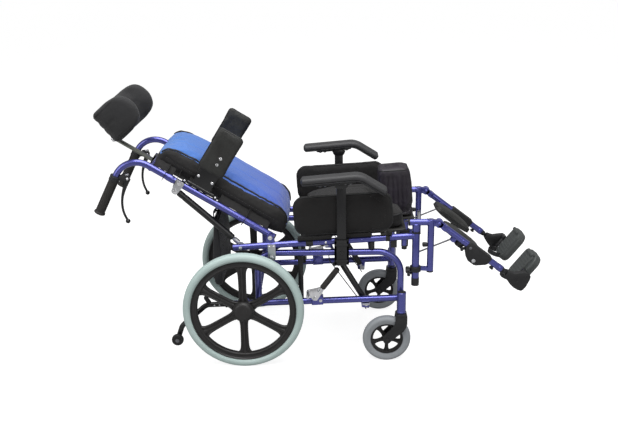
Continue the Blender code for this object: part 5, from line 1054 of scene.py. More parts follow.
def buildBackFrame():
    piece = Piece("backFrame", "back", backFrame)
    reach = back["bend"] * math.tan(back["turn"] / 2)
    for side in (-1, 1):
        y = side * back["y"]
        out = Vector((0, side, 0))
        piece.add(bluePaint, tube((up(back["foot"], y, 0), up(back["start"] + reach, y, 0),
            onHandle(back["end"], y)), tubeRadius, back["bend"], steps=22))
        piece.add(blackPlastic, bar(up(back["foot"] - 0.002, y, 0), up(back["foot"] + 0.003, y, 0), 0.0114))
        # upper plate of the recline strut
        outward = side * (back["y"] + tubeRadius)
        strap = plate(((-0.357, 0.01), (-0.352, 0.013), (-0.33, 0.013), (-0.325, 0.01), (-0.33, -0.03),
            (-0.335, -0.036), (-0.347, -0.036), (-0.352, -0.03)), outward + side * 0.0015,
            outward + side * 0.005, 0.0009)
        piece.add(zinc, strap, block(up(0.33, outward - side * 0.006, -0.006),
            up(0.352, outward + side * 0.003, 0.006)))
        pinTip = side * (back["y"] + 0.0115)
        piece.add(zinc, bar(up(0.341, pinTip, -0.026), up(0.341, outward + side * 0.0075, -0.026), 0.0054))
        piece.add(chrome, *hexBolt(up(0.341, outward + side * 0.0048, -0.026), out, 0.0062, 0.0038),
            *hexBolt(up(0.341, outward + side * 0.0048, 0.003), out, 0.005, 0.0034))
        # saddles that carry the side pad's hinge
        for edge in (0.2115, 0.3245):
            piece.add(blackPaint, block(up(edge, side * 0.157, 0.0), up(edge + 0.014, side * 0.169, 0.026),
                0.0012))
            piece.add(chrome, domeBolt(up(edge + 0.007, side * 0.1688, 0.0185), out, 0.0036, 0.002))
        # clamp band round the tube and a rivet pair near the hinge
        piece.add(bluePaint, bar(up(0.362, y, 0), up(0.386, y, 0), 0.0122))
        for u in (0.06, 0.12):
            piece.add(bluePaint, domeBolt(up(u, side * (back["y"] + tubeRadius - 0.0008), 0), out, 0.0032,
                0.0017))
    for u in back["bars"]:
        piece.add(bluePaint, tube((up(u, -back["y"], -back["drop"]), up(u, back["y"], -back["drop"])),
            0.008))
        for side in (-1, 1):
            piece.add(bluePaint, weldBead(up(u, side * (back["y"] - tubeRadius + 0.001), -back["drop"]),
                (0, 1, 0), 0.0084))
    # hanging rod of the bag
    for side in (-1, 1):
        piece.add(blackPaint, block(up(0.191, side * 0.084 - 0.008, -back["drop"]),
            up(0.199, side * 0.084 + 0.008, -0.034)))
    piece.add(blackPaint, tube((up(0.195, -0.144, -0.034), up(0.195, 0.144, -0.034)), 0.0034, sides=18))
    # bracket that clamps the headrest's flat bar
    face, thick = -0.025, 0.006
    rear = face - thick
    for y0, y1 in mm(-22, -15.5, 15.5, 22):
        piece.add(blackPaint, block(up(0.429, y0, rear - 0.005), up(0.461, y1, -back["drop"]), 0.001))
    piece.add(blackPaint, block(up(0.429, -0.022, face + 0.0006), up(0.461, 0.022, -back["drop"]), 0.001),
        block(up(0.429, -0.022, rear - 0.005), up(0.461, 0.022, rear - 0.0006), 0.001))
    piece.add(chrome, *hexBolt(up(0.445, 0, rear - 0.005), (0, 0, -1), 0.005, 0.004))
    for side in (-1, 1):
        spot = up(0.445, side * 0.0218, -0.018)
        piece.add(zinc, *hexBolt(spot, (0, side, 0), 0.0055, 0.0045))
    piece.done("blue_frame", "back_frame")


grip = {"start": 0.021, "length": 0.124, "radius": 0.016, "leverPivot": (0.492, -0.072),
    "leverPoints": ((0.485, -0.113), (0.466, -0.162), (0.425, -0.201))}


def buildHandle(side, word):
    y = side * back["y"]
    start, length, radius = grip["start"], grip["length"], grip["radius"]
    piece = Piece("handleGrip_" + word, "back", backFrame)
    profile = [(0, radius * 0.9), (0.0008, radius * 1.02)]
    ribs = 22
    for i in range(ribs):
        begin = 0.004 + (length - 0.014) * i / ribs
        step = (length - 0.014) / ribs
        profile += [(begin, radius), (begin + step * 0.55, radius), (begin + step * 0.68, radius * 0.945),
            (begin + step * 0.9, radius * 0.945)]
    profile += [(length - 0.0075, radius), (length - 0.006, radius + 0.0022),
        (length - 0.0015, radius + 0.003), (length, radius + 0.0015)]
    hole = [(length - 0.0002, tubeRadius * 0.9)]
    piece.add(gripRubber, spun(onHandle(start, y), onHandle(start + length, y), profile + hole, 48, 24,
        0.0004))
    piece.add(blackPlastic, spun(onHandle(0.003, y), onHandle(start, y),
        [(0, radius - 0.001), (0.001, radius + 0.0012), (0.006, radius + 0.0015), (0.0064, radius + 0.0006),
        (0.012, radius + 0.0006), (0.0124, radius + 0.0015), (0.018, radius + 0.0013), (0.019, radius)],
        40))
    pu, pn = grip["leverPivot"]
    arch = ((-pu - 0.004, pn + 0.009), (-pu - 0.014, pn + 0.008), (-pu - 0.024, pn + 0.001),
        (-pu - 0.026, pn - 0.008), (-pu - 0.024, pn - 0.018), (-pu - 0.016, pn - 0.018),
        (-pu - 0.006, pn - 0.013), (-pu + 0.004, pn - 0.006), (-pu + 0.0065, pn - 0.001),
        (-pu + 0.006, pn + 0.004), (-pu + 0.001, pn + 0.008))
    for low in (-0.0085, 0.0045):
        piece.add(blackPlastic, plate(arch, y + low, y + low + 0.004, 0.0008))
    piece.add(blackPlastic, block(up(pu + 0.0175, y - 0.0075, pn - 0.003),
        up(pu + 0.027, y + 0.0075, pn - 0.0165), 0.001))
    nose = up(pu + 0.004, y, pn + 0.014)
    piece.add(zinc, spun(up(pu + 0.02, y, pn - 0.006), nose,
        mm(0, 4, 12, 4.2, 12.5, 5, 17, 5, 18, 4.2, 25.6, 4), 22, 8, 0.0006))
    piece.add(chrome, domeBolt(up(pu, y - 0.0085, pn), (0, -1, 0), 0.004, 0.002),
        domeBolt(up(pu, y + 0.0085, pn), (0, 1, 0), 0.004, 0.002))
    screw = onHandle(0.012, y)
    piece.add(zinc, *hexBolt(screw + Vector((radius * 0.9, 0, 0)), (1, 0, 0), 0.0042, 0.005))
    piece.done("black_plastic", "handle_grip_" + word)
    # curved lever with its ball end
    blade = Piece("handLever_" + word, "hand_lever_" + word, backFrame)
    points = [up(pu, y, pn)] + [up(u, y, n) for u, n in grip["leverPoints"]]
    line = smoothLine([points[0], up(0.489, y, -0.092), points[1], up(0.478, y, -0.138), points[2],
        up(0.449, y, -0.183), points[3]], 8)
    count = len(line)
    sizes = [0.8 + 1.1 * max(0.0, 1 - 1.9 * i / count) ** 1.2 for i in range(count)]
    outline = [(a * 0.42, b) for a, b in roundOutline(0.0052, 20)]
    blade.add(blackPaint, swept(line, outline, sizes=sizes), ball(points[-1], 0.008))
    blade.add(zinc, pin(up(pu, y, pn), 0.004, 0.0062))
    blade.done("black_steel", "hand_lever_" + word)


strut = {"lowX": -0.005, "top": (0.341, -0.026)}


def buildStrut(side, word):
    y = side * back["y"]
    inverse = chairFrame.inverted() @ backFrame
    top = inverse @ up(strut["top"][0], y, strut["top"][1])
    low = Vector((strut["lowX"], y, railHeight(strut["lowX"])))
    along = (top - low).normalized()
    length = (top - low).length
    rod = Piece("strutRod_" + word, "recline_strut_rod_" + word)
    rod.add(zinc, pin(low, 0.0025, 0.0089))
    rod.add(chrome, bar(low + along * 0.0075, low + along * (length - 0.032), 0.0047))
    rod.add(zinc, spun(low, top, mm(10, 6, 12, 8.3, 29.5, 8.3, 30, 7), 28),
        spun(low, top, mm(30, 6.8, 30.5, 7.2, 34.5, 7.2, 35, 6.6), 6))
    rod.done("bright_steel", "recline_strut_rod_" + word)
    cylinder = Piece("strutCylinder_" + word, "recline_strut_cylinder_" + word)
    end = length - 0.012
    cylinder.add(blackPaint, spun(low, top, [(0.036, 0.0085), (0.038, 0.0108), (0.04, 0.011),
        (0.0405, 0.0104), (0.046, 0.0104), (0.0465, 0.011), (end - 0.026, 0.011), (end - 0.0255, 0.0102),
        (end - 0.02, 0.0102), (end - 0.0195, 0.011), (end - 0.002, 0.011), (end, 0.0088)], 40))
    cylinder.add(zinc, bar(top - along * 0.016, top, 0.0078), pin(top, 0.0104, 0.0079))
    cylinder.done("black_steel", "recline_strut_cylinder_" + word)


buildBackFrame()
for side, word in sides:
    buildHandle(side, word)
    buildStrut(side, word)
print("back frame, handles and struts built")


# leg hangers, legs and footrests

leg = {"hangerX": 0.617, "hangerZ": 0.482, "hangerRear": 0.546, "hangerLow": 0.312, "pivot": legPivot,
    "end": 0.265, "clamp": (0.119, 0.213), "stem": 0.0072, "housing": (0.286, 0.364), "ratchetY": 0.166}


def buildHanger(side, word):
    y = side * seat["y"]
    out = Vector((0, side, 0))
    x, z, low = leg["hangerX"], leg["hangerZ"], leg["hangerLow"]
    post = seat["postX"]
    piece = Piece("legHanger_" + word, "legrest_hanger_" + word)
    piece.add(bluePaint, tube(((leg["hangerRear"], y, z), (x + 0.002, y, z)), tubeRadius),
        tube(((x, y, low), (x, y, z + 0.0098)), tubeRadius))
    piece.add(blackPlastic, bar((leg["hangerRear"] - 0.002, y, z), (leg["hangerRear"] + 0.003, y, z),
        0.0113), bar((x, y, low - 0.0025), (x, y, low + 0.003), 0.0113))
    piece.add(zinc, bar((post, y, 0.395), (post, y, z), 0.0082))
    piece.add(bluePaint, spun((post, y, 0.4525), (post, y, 0.5), mm(0, 12, 0.8, 13, 24, 13, 25.5, 11.8)),
        weldBead((x - tubeRadius, y, z), (1, 0, 0), tubeRadius + 0.0003))
    ex, ez = leg["pivot"]
    piece.add(bluePaint, plate(((x, ez - 0.009), (ex - 0.004, ez - 0.01), (ex + 0.006, ez - 0.008),
        (ex + 0.011, ez), (ex + 0.006, ez + 0.009), (ex - 0.004, ez + 0.0115), (x, ez + 0.0135)), y - 0.007,
        y + 0.007, 0.0012), pin((ex, y, ez), 0.007, 0.013))
    # clip round the front post with its knob
    ring = spun((post, y, low), (post, y, low + 0.018), mm(0, 17.2, 1, 18.4, 17, 18.4, 18, 17.2), 40)
    piece.add(blackPlastic, ring)
    piece.add(bluePaint, plate(((post + 0.0135, low + 0.004), (x, low + 0.001), (x, low + 0.015),
        (post + 0.0135, low + 0.017)), y - 0.007, y + 0.007, 0.0012))
    knob = Vector((post - 0.0155, y, low + 0.005))
    piece.add(blackPlastic, spun(knob, knob - Vector((1, 0, 0)),
        mm(0, 6.2, 3, 6.6, 3.5, 10.4, 6, 11.5, 14, 11.5, 16.5, 10, 17, 4), 48, 6, 0.0026))
    # release knob and lock block
    piece.add(blackPlastic, spun((x - 0.008, y, 0.405), (x - 0.03, y, 0.405),
        mm(0, 5.2, 4, 5.6, 4.5, 7.6, 16, 8, 18, 7.2, 19.2, 4), 32, 10, 0.0006))
    gy = leg["ratchetY"]
    gz = guideZ
    for z0, z1 in ((gz - 0.02, gz - 0.0152), (gz + 0.0172, gz + 0.022)):
        piece.add(zinc, block((x - 0.005, side * 0.181, z0), (x + 0.005, side * (gy - 0.009), z1), 0.0008))
    for y0, y1 in ((0.1714, 0.181), (gy - 0.009, gy - 0.0053)):
        piece.add(zinc, block((x - 0.005, side * y0, gz - 0.02), (x + 0.005, side * y1, gz + 0.022),
            0.0008))
    for spot in (0.345, 0.44):
        piece.add(bluePaint, domeBolt((x, side * rivetFace, spot), out, 0.003, 0.0016))
    piece.done("blue_frame", "legrest_hanger_" + word)


def buildLeg(side, word):
    y = side * seat["y"]
    out = Vector((0, side, 0))
    start, end = leg["clamp"]
    piece = Piece("legTube_" + word, "legrest_" + word, legFrame)
    piece.add(bluePaint, tube(((0.0205, y, 0), (leg["end"], y, 0)), tubeRadius))
    for way in (-1, 1):
        piece.add(bluePaint, bar((0, y + way * 0.0075, 0), (0, y + way * 0.011, 0), 0.0139),
            block((0, y + way * 0.0075, -0.009), (0.027, y + way * 0.011, 0.009), 0.001),
            domeBolt((0, y + way * 0.0108, 0), (0, way, 0), 0.0056, 0.003))
    piece.add(bluePaint, block((0.0165, y - 0.0119, -0.0108), (0.031, y + 0.0119, 0.0108), 0.0022))
    piece.add(zinc, pin((0, y, 0), 0.011, 0.0039))
    # black bracket under the tube with its clamp bolt
    outline = ((start, -0.01), (start + 0.004, -0.018), (start + 0.026, -0.038), (start + 0.034, -0.042),
        (start + 0.058, -0.042), (start + 0.066, -0.039), (end - 0.006, -0.02), (end, -0.012), (end, 0.011),
        (end - 0.004, 0.014), (start + 0.004, 0.014), (start, 0.01))
    piece.add(blackPlastic, plate(outline, y - 0.0145, y + 0.0145, 0.0022),
        plate(((start + 0.008, -0.008), (start + 0.02, -0.03), (start + 0.06, -0.034), (end - 0.01, -0.012),
        (end - 0.01, 0.007), (start + 0.008, 0.007)), y + side * 0.014, y + side * 0.0158, 0.0008))
    piece.add(zinc, *hexBolt((0.167, y + side * 0.0156, -0.03), out, 0.005, 0.004))
    piece.add(darkSteel, *hexBolt((start + 0.012, y + side * 0.0156, -0.002), out, 0.004, 0.003))
    piece.add(blackPlastic, spun((start + 0.003, y, -0.017), (start - 0.01, y, -0.03),
        mm(0, 5, 6, 5.2, 6.5, 9, 12, 9.2, 14, 7.5, 14.6, 3), 40, 5, 0.0022))
    # arm that carries the calf pad
    low = 0.005 - 0.026 - 0.0005
    armX = start - 0.03
    piece.add(blackPaint, block((armX, side * 0.115, low - 0.0055),
        (armX + 0.028, side * (seat["y"] - 0.001), low - 0.0002), 0.001),
        block((armX + 0.002, side * (seat["y"] - tubeRadius + 0.001), low - 0.004),
        (armX + 0.026, side * (seat["y"] - 0.003), 0.001), 0.001))
    piece.add(zinc, *hexBolt((armX + 0.014, side * 0.13, low - 0.0054), (0, 0, -1), 0.0042, 0.0034))
    # lug of the ratchet rod
    face = leg["ratchetY"] + 0.0035
    piece.add(bluePaint, plate(mm(66, -22, 70, -26, 80, -26, 84, -22, 84, 0, 66, 0), side * face,
        side * (seat["y"] - 0.004), 0.0009))
    piece.add(zinc, bar((0.075, side * (face + 0.003), -0.019),
        (0.075, side * (leg["ratchetY"] - 0.005), -0.019), 0.0021))
    # end collar, adjusting screw and small rivets
    piece.add(bluePaint, bar((leg["end"] - 0.016, y, 0), (leg["end"] - 0.001, y, 0), 0.0119))
    piece.add(blackPlastic, bar((leg["end"] - 0.0005, y, 0), (leg["end"] + 0.0035, y, 0), 0.0112),
        spun((leg["end"] - 0.03, y, -0.01), (leg["end"] - 0.03, y, -0.03),
        mm(0, 4.5, 3, 4.6, 3.4, 7.5, 9, 7.8, 10.5, 6), 30, 6, 0.0014))
    for a in (0.048, 0.1):
        piece.add(bluePaint, domeBolt((a, side * rivetFace, 0.001), out, 0.0036, 0.0019))
    piece.done("blue_frame", "leg_tube_" + word)


def buildRatchet(side, word):
    y = side * leg["ratchetY"]
    toChair = chairFrame.inverted() @ legFrame
    end = toChair @ Vector((0.075, y, -0.019))
    guide = Vector((leg["hangerX"], y, guideZ))
    piece = Piece("ratchetRod_" + word, "ratchet_rod_" + word)
    piece.add(zinc, pin(end, 0.003, 0.0064))
    profile = mm(3, 2.6, 6, 2.9, 30, 2.9)
    for i in range(22):
        notch = 0.032 + i * 0.0044
        profile += [(notch, 0.003), (notch + 0.0022, 0.003), (notch + 0.0026, 0.0023),
            (notch + 0.0038, 0.0023)]
    profile += mm(133.5, 3, 135, 2.2)
    piece.add(darkSteel, spun(end, guide, profile, 18))
    piece.done("bright_steel", "ratchet_rod_" + word)


foot = {"top": 0.342, "thick": 0.026, "heel": -0.02, "toe": 0.1, "in": 0.06, "out": 0.163,
    "hinge": (0.3365, 0.16)}


def buildFoot(side, word):
    y = side * seat["y"]
    out = Vector((0, side, 0))
    start, end = leg["housing"]
    piece = Piece("footStem_" + word, "footrest_" + word, legFrame)
    piece.add(blackPaint, bar((0.15, y, 0), (start + 0.01, y, 0), leg["stem"]))
    piece.add(blackPlastic, spun((leg["end"] + 0.0045, y, 0), (start + 0.02, y, 0),
        mm(0, 8, 1, 9.2, 8, 9.2, 9, 8)))
    outline = ((start, -0.01), (start + 0.01, -0.014), (start + 0.02, -0.018), (start + 0.036, -0.0225),
        (start + 0.05, -0.024), (start + 0.066, -0.0225), (end, -0.018), (end + 0.003, -0.01),
        (end + 0.003, 0.004), (end - 0.003, 0.03), (end - 0.008, 0.04), (end - 0.018, 0.0445),
        (end - 0.03, 0.043), (start + 0.034, 0.03), (start + 0.02, 0.016), (start + 0.008, 0.012),
        (start, 0.01))
    piece.add(blackPlastic, plate(outline, y - 0.011, y + 0.011, 0.0022))
    for a, p in ((start + 0.026, -0.012), (start + 0.046, -0.012), (start + 0.064, -0.01),
            (start + 0.036, 0.006), (start + 0.056, 0.01), (start + 0.058, 0.03)):
        piece.add(blackPlastic, spun((a, y + side * 0.0105, p), (a, y + side * 0.0125, p),
            mm(0, 6.2, 0.8, 6, 1, 4.4, 0.2, 4), 26))
    piece.add(blackPlastic, *hexBolt((start + 0.046, y + side * 0.0108, -0.002), out, 0.005, 0.0034))
    ha, hy = foot["hinge"]
    for lowP, highP in mm(-20, -6, 30, 44):
        piece.add(blackPaint, bar((ha, side * hy, lowP), (ha, side * hy, highP), 0.0054),
            block((ha - 0.0045, side * hy, lowP), (ha + 0.0045, side * (seat["y"] - 0.004), highP), 0.001))
    piece.add(zinc, ball((ha, side * hy, -0.0205), 0.004, 16))
    piece.done("black_steel", "footrest_stem_" + word)
    # footplate with tread ribs, hinge leaf and strap loop
    tread = Piece("footplate_" + word, "footplate_" + word, legFrame)
    halfY = (foot["out"] - foot["in"]) / 2
    middleY = side * (foot["in"] + halfY)
    halfP = (foot["toe"] - foot["heel"]) / 2
    middleP = (foot["toe"] + foot["heel"]) / 2
    top, thick = foot["top"], foot["thick"]
    rings = []
    for depth, inset in ((0.0008, 0.006), (0.0004, 0.004), (0.0012, 0.0018), (0.0036, 0.0),
            (thick * 0.42, 0.0), (thick * 0.45, 0.001), (thick * 0.5, 0.001), (thick * 0.53, 0.0),
            (thick - 0.006, 0.0), (thick - 0.002, 0.0022), (thick - 0.0004, 0.0056), (thick, 0.01)):
        rings.append([Vector((top + depth, middleY + a, middleP + b)) for a,
            b in roundedRectangle(halfY - inset, halfP - inset, 0.03 - inset * 0.8, 9)])
    tread.add(plateRubber, skinned(rings))
    for i in range(9):
        p = foot["heel"] + 0.016 + i * 0.011
        width = halfY - 0.012 - (0.008 if i in (0, 8) else 0.0)
        tread.add(plateRubber, block((top - 0.0074, side * 0.104 - min(width, 0.036), p - 0.0018),
            (top + 0.003, side * 0.104 + min(width, 0.036), p + 0.0018), 0.0009))
    lowP, highP = -0.0055, 0.0295
    tread.add(blackPlastic, bar((ha, side * hy, lowP), (ha, side * hy, highP), 0.0054),
        block((ha, side * (hy - 0.03), lowP), (top + 0.002, side * (hy - 0.001), highP), 0.001))
    for p in (0.002, 0.022):
        tread.add(chrome, domeBolt((ha + 0.0002, side * (hy - 0.018), p), (-1, 0, 0), 0.0032, 0.0018))
    deck = []
    for depth, inset in mm(-6.2, 6, -6.6, 3, -5.8, 0.8, -4, 0, 3, 0):
        deck.append([Vector((top + depth, side * 0.104 + a, middleP + b)) for a,
            b in roundedRectangle(0.042 - inset, halfP - 0.004 - inset, 0.02 - inset * 0.8, 8)])
    tread.add(plateRubber, skinned(deck))
    # raised rail along the toe edge
    rail = [(top - 0.01, foot["toe"] - 0.015), (top - 0.0112, foot["toe"] - 0.012),
        (top - 0.0112, foot["toe"] - 0.007), (top - 0.0094, foot["toe"] - 0.0036),
        (top + 0.006, foot["toe"] - 0.003), (top + 0.006, foot["toe"] - 0.015)]
    tread.add(plateRubber, plate(rail, middleY - halfY + 0.022, middleY + halfY - 0.022, 0.0012))
    edge = top + thick
    for i in range(4):
        a = foot["in"] + 0.018 + i * 0.022
        tread.add(plateRubber, block((edge - 0.003, side * a, foot["heel"] + 0.014),
            (edge + 0.0008, side * (a + 0.004), foot["toe"] - 0.016), 0.0008))
    for p in (foot["heel"] + 0.006, foot["toe"] - 0.006):
        tread.add(zinc, bar((top + 0.006, side * (foot["in"] + 0.024), p),
            (top + thick - 0.006, side * (foot["in"] + 0.024), p), 0.0032, 18))
    # heel strap hooped over the plate's rear edge
    loop = smoothLine(((top + 0.004, middleY - 0.03, foot["heel"] + 0.012),
        (top - 0.02, middleY - 0.03, foot["heel"] + 0.002),
        (top - 0.034, middleY - 0.016, foot["heel"] - 0.004), (top - 0.037, middleY, foot["heel"] - 0.005),
        (top - 0.034, middleY + 0.016, foot["heel"] - 0.004),
        (top - 0.02, middleY + 0.03, foot["heel"] + 0.002),
        (top + 0.004, middleY + 0.03, foot["heel"] + 0.012)), 8)
    tread.add(webbing, swept(loop, [(a, b) for a, b in roundedRectangle(0.0012, 0.0085, 0.001, 3)]))
    tread.done("black_plastic", "footplate_" + word)


for side, word in sides:
    buildHanger(side, word)
    buildLeg(side, word)
    buildRatchet(side, word)
    buildFoot(side, word)
print("legrests built")


# soft goods: covers filled from inside, then seamed

softKinds = {"voxel": 0.005, "steps": 16, "pressure": 4.0}


def baked(obj, kind, **settings):
    modifier = obj.modifiers.new(kind, kind)
    for key, value in settings.items():
        setattr(modifier, key, value)
    graph = bpy.context.evaluated_depsgraph_get()
    mesh = bpy.data.meshes.new_from_object(obj.evaluated_get(graph))
    obj.modifiers.remove(modifier)
    old = obj.data
    obj.data = mesh
    bpy.data.meshes.remove(old)


def placed(shape, matrix):
    shape.transform(matrix)
    return shape


def copied(node):
    shape = bmesh.new()
    shape.from_mesh(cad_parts[node].data)
    return shape


def puffed(name, shape, cap, shrink, voxel=softKinds["voxel"]):
    # an even mesh drawn in a little, blown up from inside and held to a small movement
    mesh = bpy.data.meshes.new(name)
    shape.to_mesh(mesh)
    shape.free()
    obj = bpy.data.objects.new(name, mesh)
    bpy.context.scene.collection.objects.link(obj)
    if voxel:
        baked(obj, "REMESH", mode="VOXEL", voxel_size=voxel)
        baked(obj, "SMOOTH", iterations=2, factor=0.5)
    mesh = obj.data
    normals = [vertex.normal.copy() for vertex in mesh.vertices]
    for vertex, normal in zip(mesh.vertices, normals):
        vertex.co -= normal * shrink
    resting = [vertex.co.copy() for vertex in mesh.vertices]
    cloth = obj.modifiers.new("filling", "CLOTH")
    cloth.settings.quality = 4
    cloth.settings.use_pressure = True
    cloth.settings.uniform_pressure_force = softKinds["pressure"]
    cloth.settings.effector_weights.gravity = 0
    cloth.point_cache.frame_start = 1
    cloth.point_cache.frame_end = softKinds["steps"]
    for step in range(1, softKinds["steps"] + 1):
        bpy.context.scene.frame_set(step)
    graph = bpy.context.evaluated_depsgraph_get()
    blown = [vertex.co.copy() for vertex in obj.evaluated_get(graph).data.vertices]
    obj.modifiers.remove(cloth)
    bpy.context.scene.frame_set(1)
    for vertex, rest, moved in zip(mesh.vertices, resting, blown):
        step = moved - rest
        if step.length > cap:
            step *= cap / step.length
        vertex.co = rest + step
    baked(obj, "SMOOTH", iterations=2, factor=0.4)
    # faces with hundreds of corners, as the pommel's ends are, take long at a finer quality
    baked(obj, "SUBSURF", levels=1, render_levels=1, quality=3 if voxel else 1)
    return obj


def seamed(obj, lines, depth, width):
    # pulls the cover in along each line and returns the lines laid on it
    tree = BVHTree.FromPolygons([v.co for v in obj.data.vertices], [p.vertices for p in obj.data.polygons])
    laid = []
    for line in lines:
        laid.append([tree.find_nearest(point)[:2] for point in line])
    spots = [hit[0] for line in laid for hit in line]
    near = KDTree(len(spots))
    for i, spot in enumerate(spots):
        near.insert(spot, i)
    near.balance()
    normals = [vertex.normal.copy() for vertex in obj.data.vertices]
    for vertex, normal in zip(obj.data.vertices, normals):
        distance = near.find(vertex.co)[2]
        if distance < 3 * width:
            vertex.co -= normal * depth * math.exp(-(distance / width) ** 2)
    return [[(spot - normal * depth * 0.7, normal) for spot, normal in line] for line in laid]


def crinkled(obj, size, depth):
    normals = [vertex.normal.copy() for vertex in obj.data.vertices]
    for vertex, normal in zip(obj.data.vertices, normals):
        vertex.co += normal * depth * noise.noise(vertex.co * size)


def upholstered(cover, body, materials, nodes=(), choose=None):
    # the material of each face goes by where it is
    for material in materials:
        cover.data.materials.append(material)
    for polygon in cover.data.polygons:
        polygon.use_smooth = True
        if choose:
            polygon.material_index = choose(polygon.center)
    settled(cover, body, nodes)


def trimmed(name, body, lines, radius, material, lift=0.0, looped=True):
    # piping laid along seams of a cover
    piece = Piece(name, body)
    for line in lines:
        path = [spot + normal * lift for spot, normal in line]
        piece.add(material, swept(path, roundOutline(radius, 10), looped), matrix=Matrix.Identity(4))
    return piece.done("black_cloth")


def stitched(name, body, lines, length=0.0042, gap=0.0024, radius=0.0006):
    # short stitches along a line on a cover
    piece = Piece(name, body)
    for line in lines:
        carried = 0.0
        for (a, normal), (b, _) in zip(line, line[1:]):
            span = (b - a).length
            if span < 1e-6:
                continue
            while carried < span:
                start = a.lerp(b, carried / span) + normal * radius
                end = a.lerp(b, min(1.0, (carried + length) / span)) + normal * radius
                if (end - start).length > radius:
                    piece.add(stitching, spun(start, end,
                        [(0, radius * 0.6), (radius, radius), ((end - start).length - radius, radius),
                        ((end - start).length, radius * 0.6)], 6), matrix=Matrix.Identity(4))
                carried += length + gap
            carried -= span
    return piece.done("black_cloth")


def padShape(centre, halfA, halfB, corner, levels, axis):
    # rounded rectangles stacked along one axis, each level being (offset, inset)
    rings = []
    for offset, inset in levels:
        ring = []
        for a, b in roundedRectangle(halfA - inset, halfB - inset, max(corner - inset, 0.004), 8):
            step = (a, b, offset) if axis == "Z" else (a, offset, b)
            ring.append(Vector(centre) + Vector(step))
        rings.append(ring)
    return skinned(rings)


def closedLine(points, matrix, count=120):
    # points on a closed curve at even steps
    points = [matrix @ Vector(point) for point in points]
    lengths = [(points[(i + 1) % len(points)] - point).length for i, point in enumerate(points)]
    total = sum(lengths)
    line = []
    for k in range(count):
        target = total * k / count
        i = 0
        while target > lengths[i]:
            target -= lengths[i]
            i += 1
        line.append(points[i].lerp(points[(i + 1) % len(points)], target / lengths[i]))
    return line


def padLine(centre, halfA, halfB, corner, matrix, axis, level, steps=8, count=110):
    # a closed line round a pad at one level along its axis
    x, y, z = centre
    outline = roundedRectangle(halfA, halfB, corner, steps)
    if axis == "Y":
        return closedLine([(x + a, level, z + b) for a, b in outline], matrix, count)
    return closedLine([(x + a, y + b, z + level) for a, b in outline], matrix, count)


def openLine(points, matrix, count=60):
    steps = max(2, count // max(1, len(points) - 1))
    return smoothLine([matrix @ Vector(point) for point in points], steps)


def axisOf(matrix, direction):
    return tuple((matrix.to_3x3() @ Vector(direction)).normalized())


# seat cushion and board

pad = {"low": 0.011 + 0.0004, "thick": 0.008, "rest": 0.0198, "pommelRear": 0.462, "pommelFront": 0.579,
    "pommelHalf": 0.052, "pommelHeight": 0.176, "pleats": 25, "hipRear": 0.168, "hipFront": 0.507,
    "hipHeight": 0.15, "hipIn": 0.178, "hipThick": 0.028, "hipCorner": 0.045}


def buildSeat():
    low, thick = pad["low"], pad["thick"]
    board = Piece("seatBoard", "seat", seatFrame)
    rings = []
    for depth, inset in ((0, 0.0012), (0.0012, 0), (thick - 0.0012, 0), (thick, 0.0012)):
        rings.append([Vector((0.373 + a, b, low + depth)) for a,
            b in roundedRectangle(0.167 - inset, 0.17 - inset, 0.012, 5)])
    board.add(boardWood, skinned(rings), block((0.518, -pad["pommelHalf"], low + 0.0006),
        (pad["pommelFront"], pad["pommelHalf"], low + thick - 0.0006), 0.0016))
    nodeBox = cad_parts["seat_board"]
    inverse = seatFrame.inverted()
    ears = sorted({round((inverse @ v.co).x, 4) for v in nodeBox.data.vertices
        if abs((inverse @ v.co).y) > 0.19})
    for first, second in zip(ears[0::2], ears[1::2]):
        board.add(boardWood, block((first, -0.196, low + 0.0006), (second, 0.196, low + thick - 0.0006),
            0.0016))
        for side in (-1, 1):
            board.add(chrome, domeBolt(((first + second) / 2, side * seatTubeY, low + thick - 0.0008),
                (0, 0, 1), 0.0052, 0.0026))
    board.done("board", "seat_board")
    cover = puffed("seatCushion", copied("seat_cushion"), 0.022, 0.004, 0.006)
    rest = pad["rest"]
    outline = [(0.373 + a, b, rest + 0.05) for a, b in roundedRectangle(0.1665, 0.1735, 0.03, 8)]
    outline = [point for point in outline if not (point[0] > pad["pommelRear"] - 0.004
        and abs(point[1]) < pad["pommelHalf"] + 0.004)]
    lines = seamed(cover, [closedLine(outline, seatFrame, 170)], 0.0016, 0.0035)
    seamed(cover, [openLine(((0.3, y, rest + 0.075), (0.38, y, rest + 0.075), (0.45, y, rest + 0.075)),
        seatFrame, 40) for y in (-0.085, 0.085)], 0.003, 0.008)
    crinkled(cover, 22, 0.0007)
    upholstered(cover, "seat", [blackCloth], ["seat_cushion"])
    trimmed("seatCushionPiping", "seat", lines, 0.0021, piping, 0.0008)


def pommelOutline(half, inset, lean):
    return [(x - lean / 2, y) for x, y in roundedRectangle(half - inset - lean / 2,
        pad["pommelHalf"] - inset, max(0.004, 0.02 - inset * 0.4), 10)]


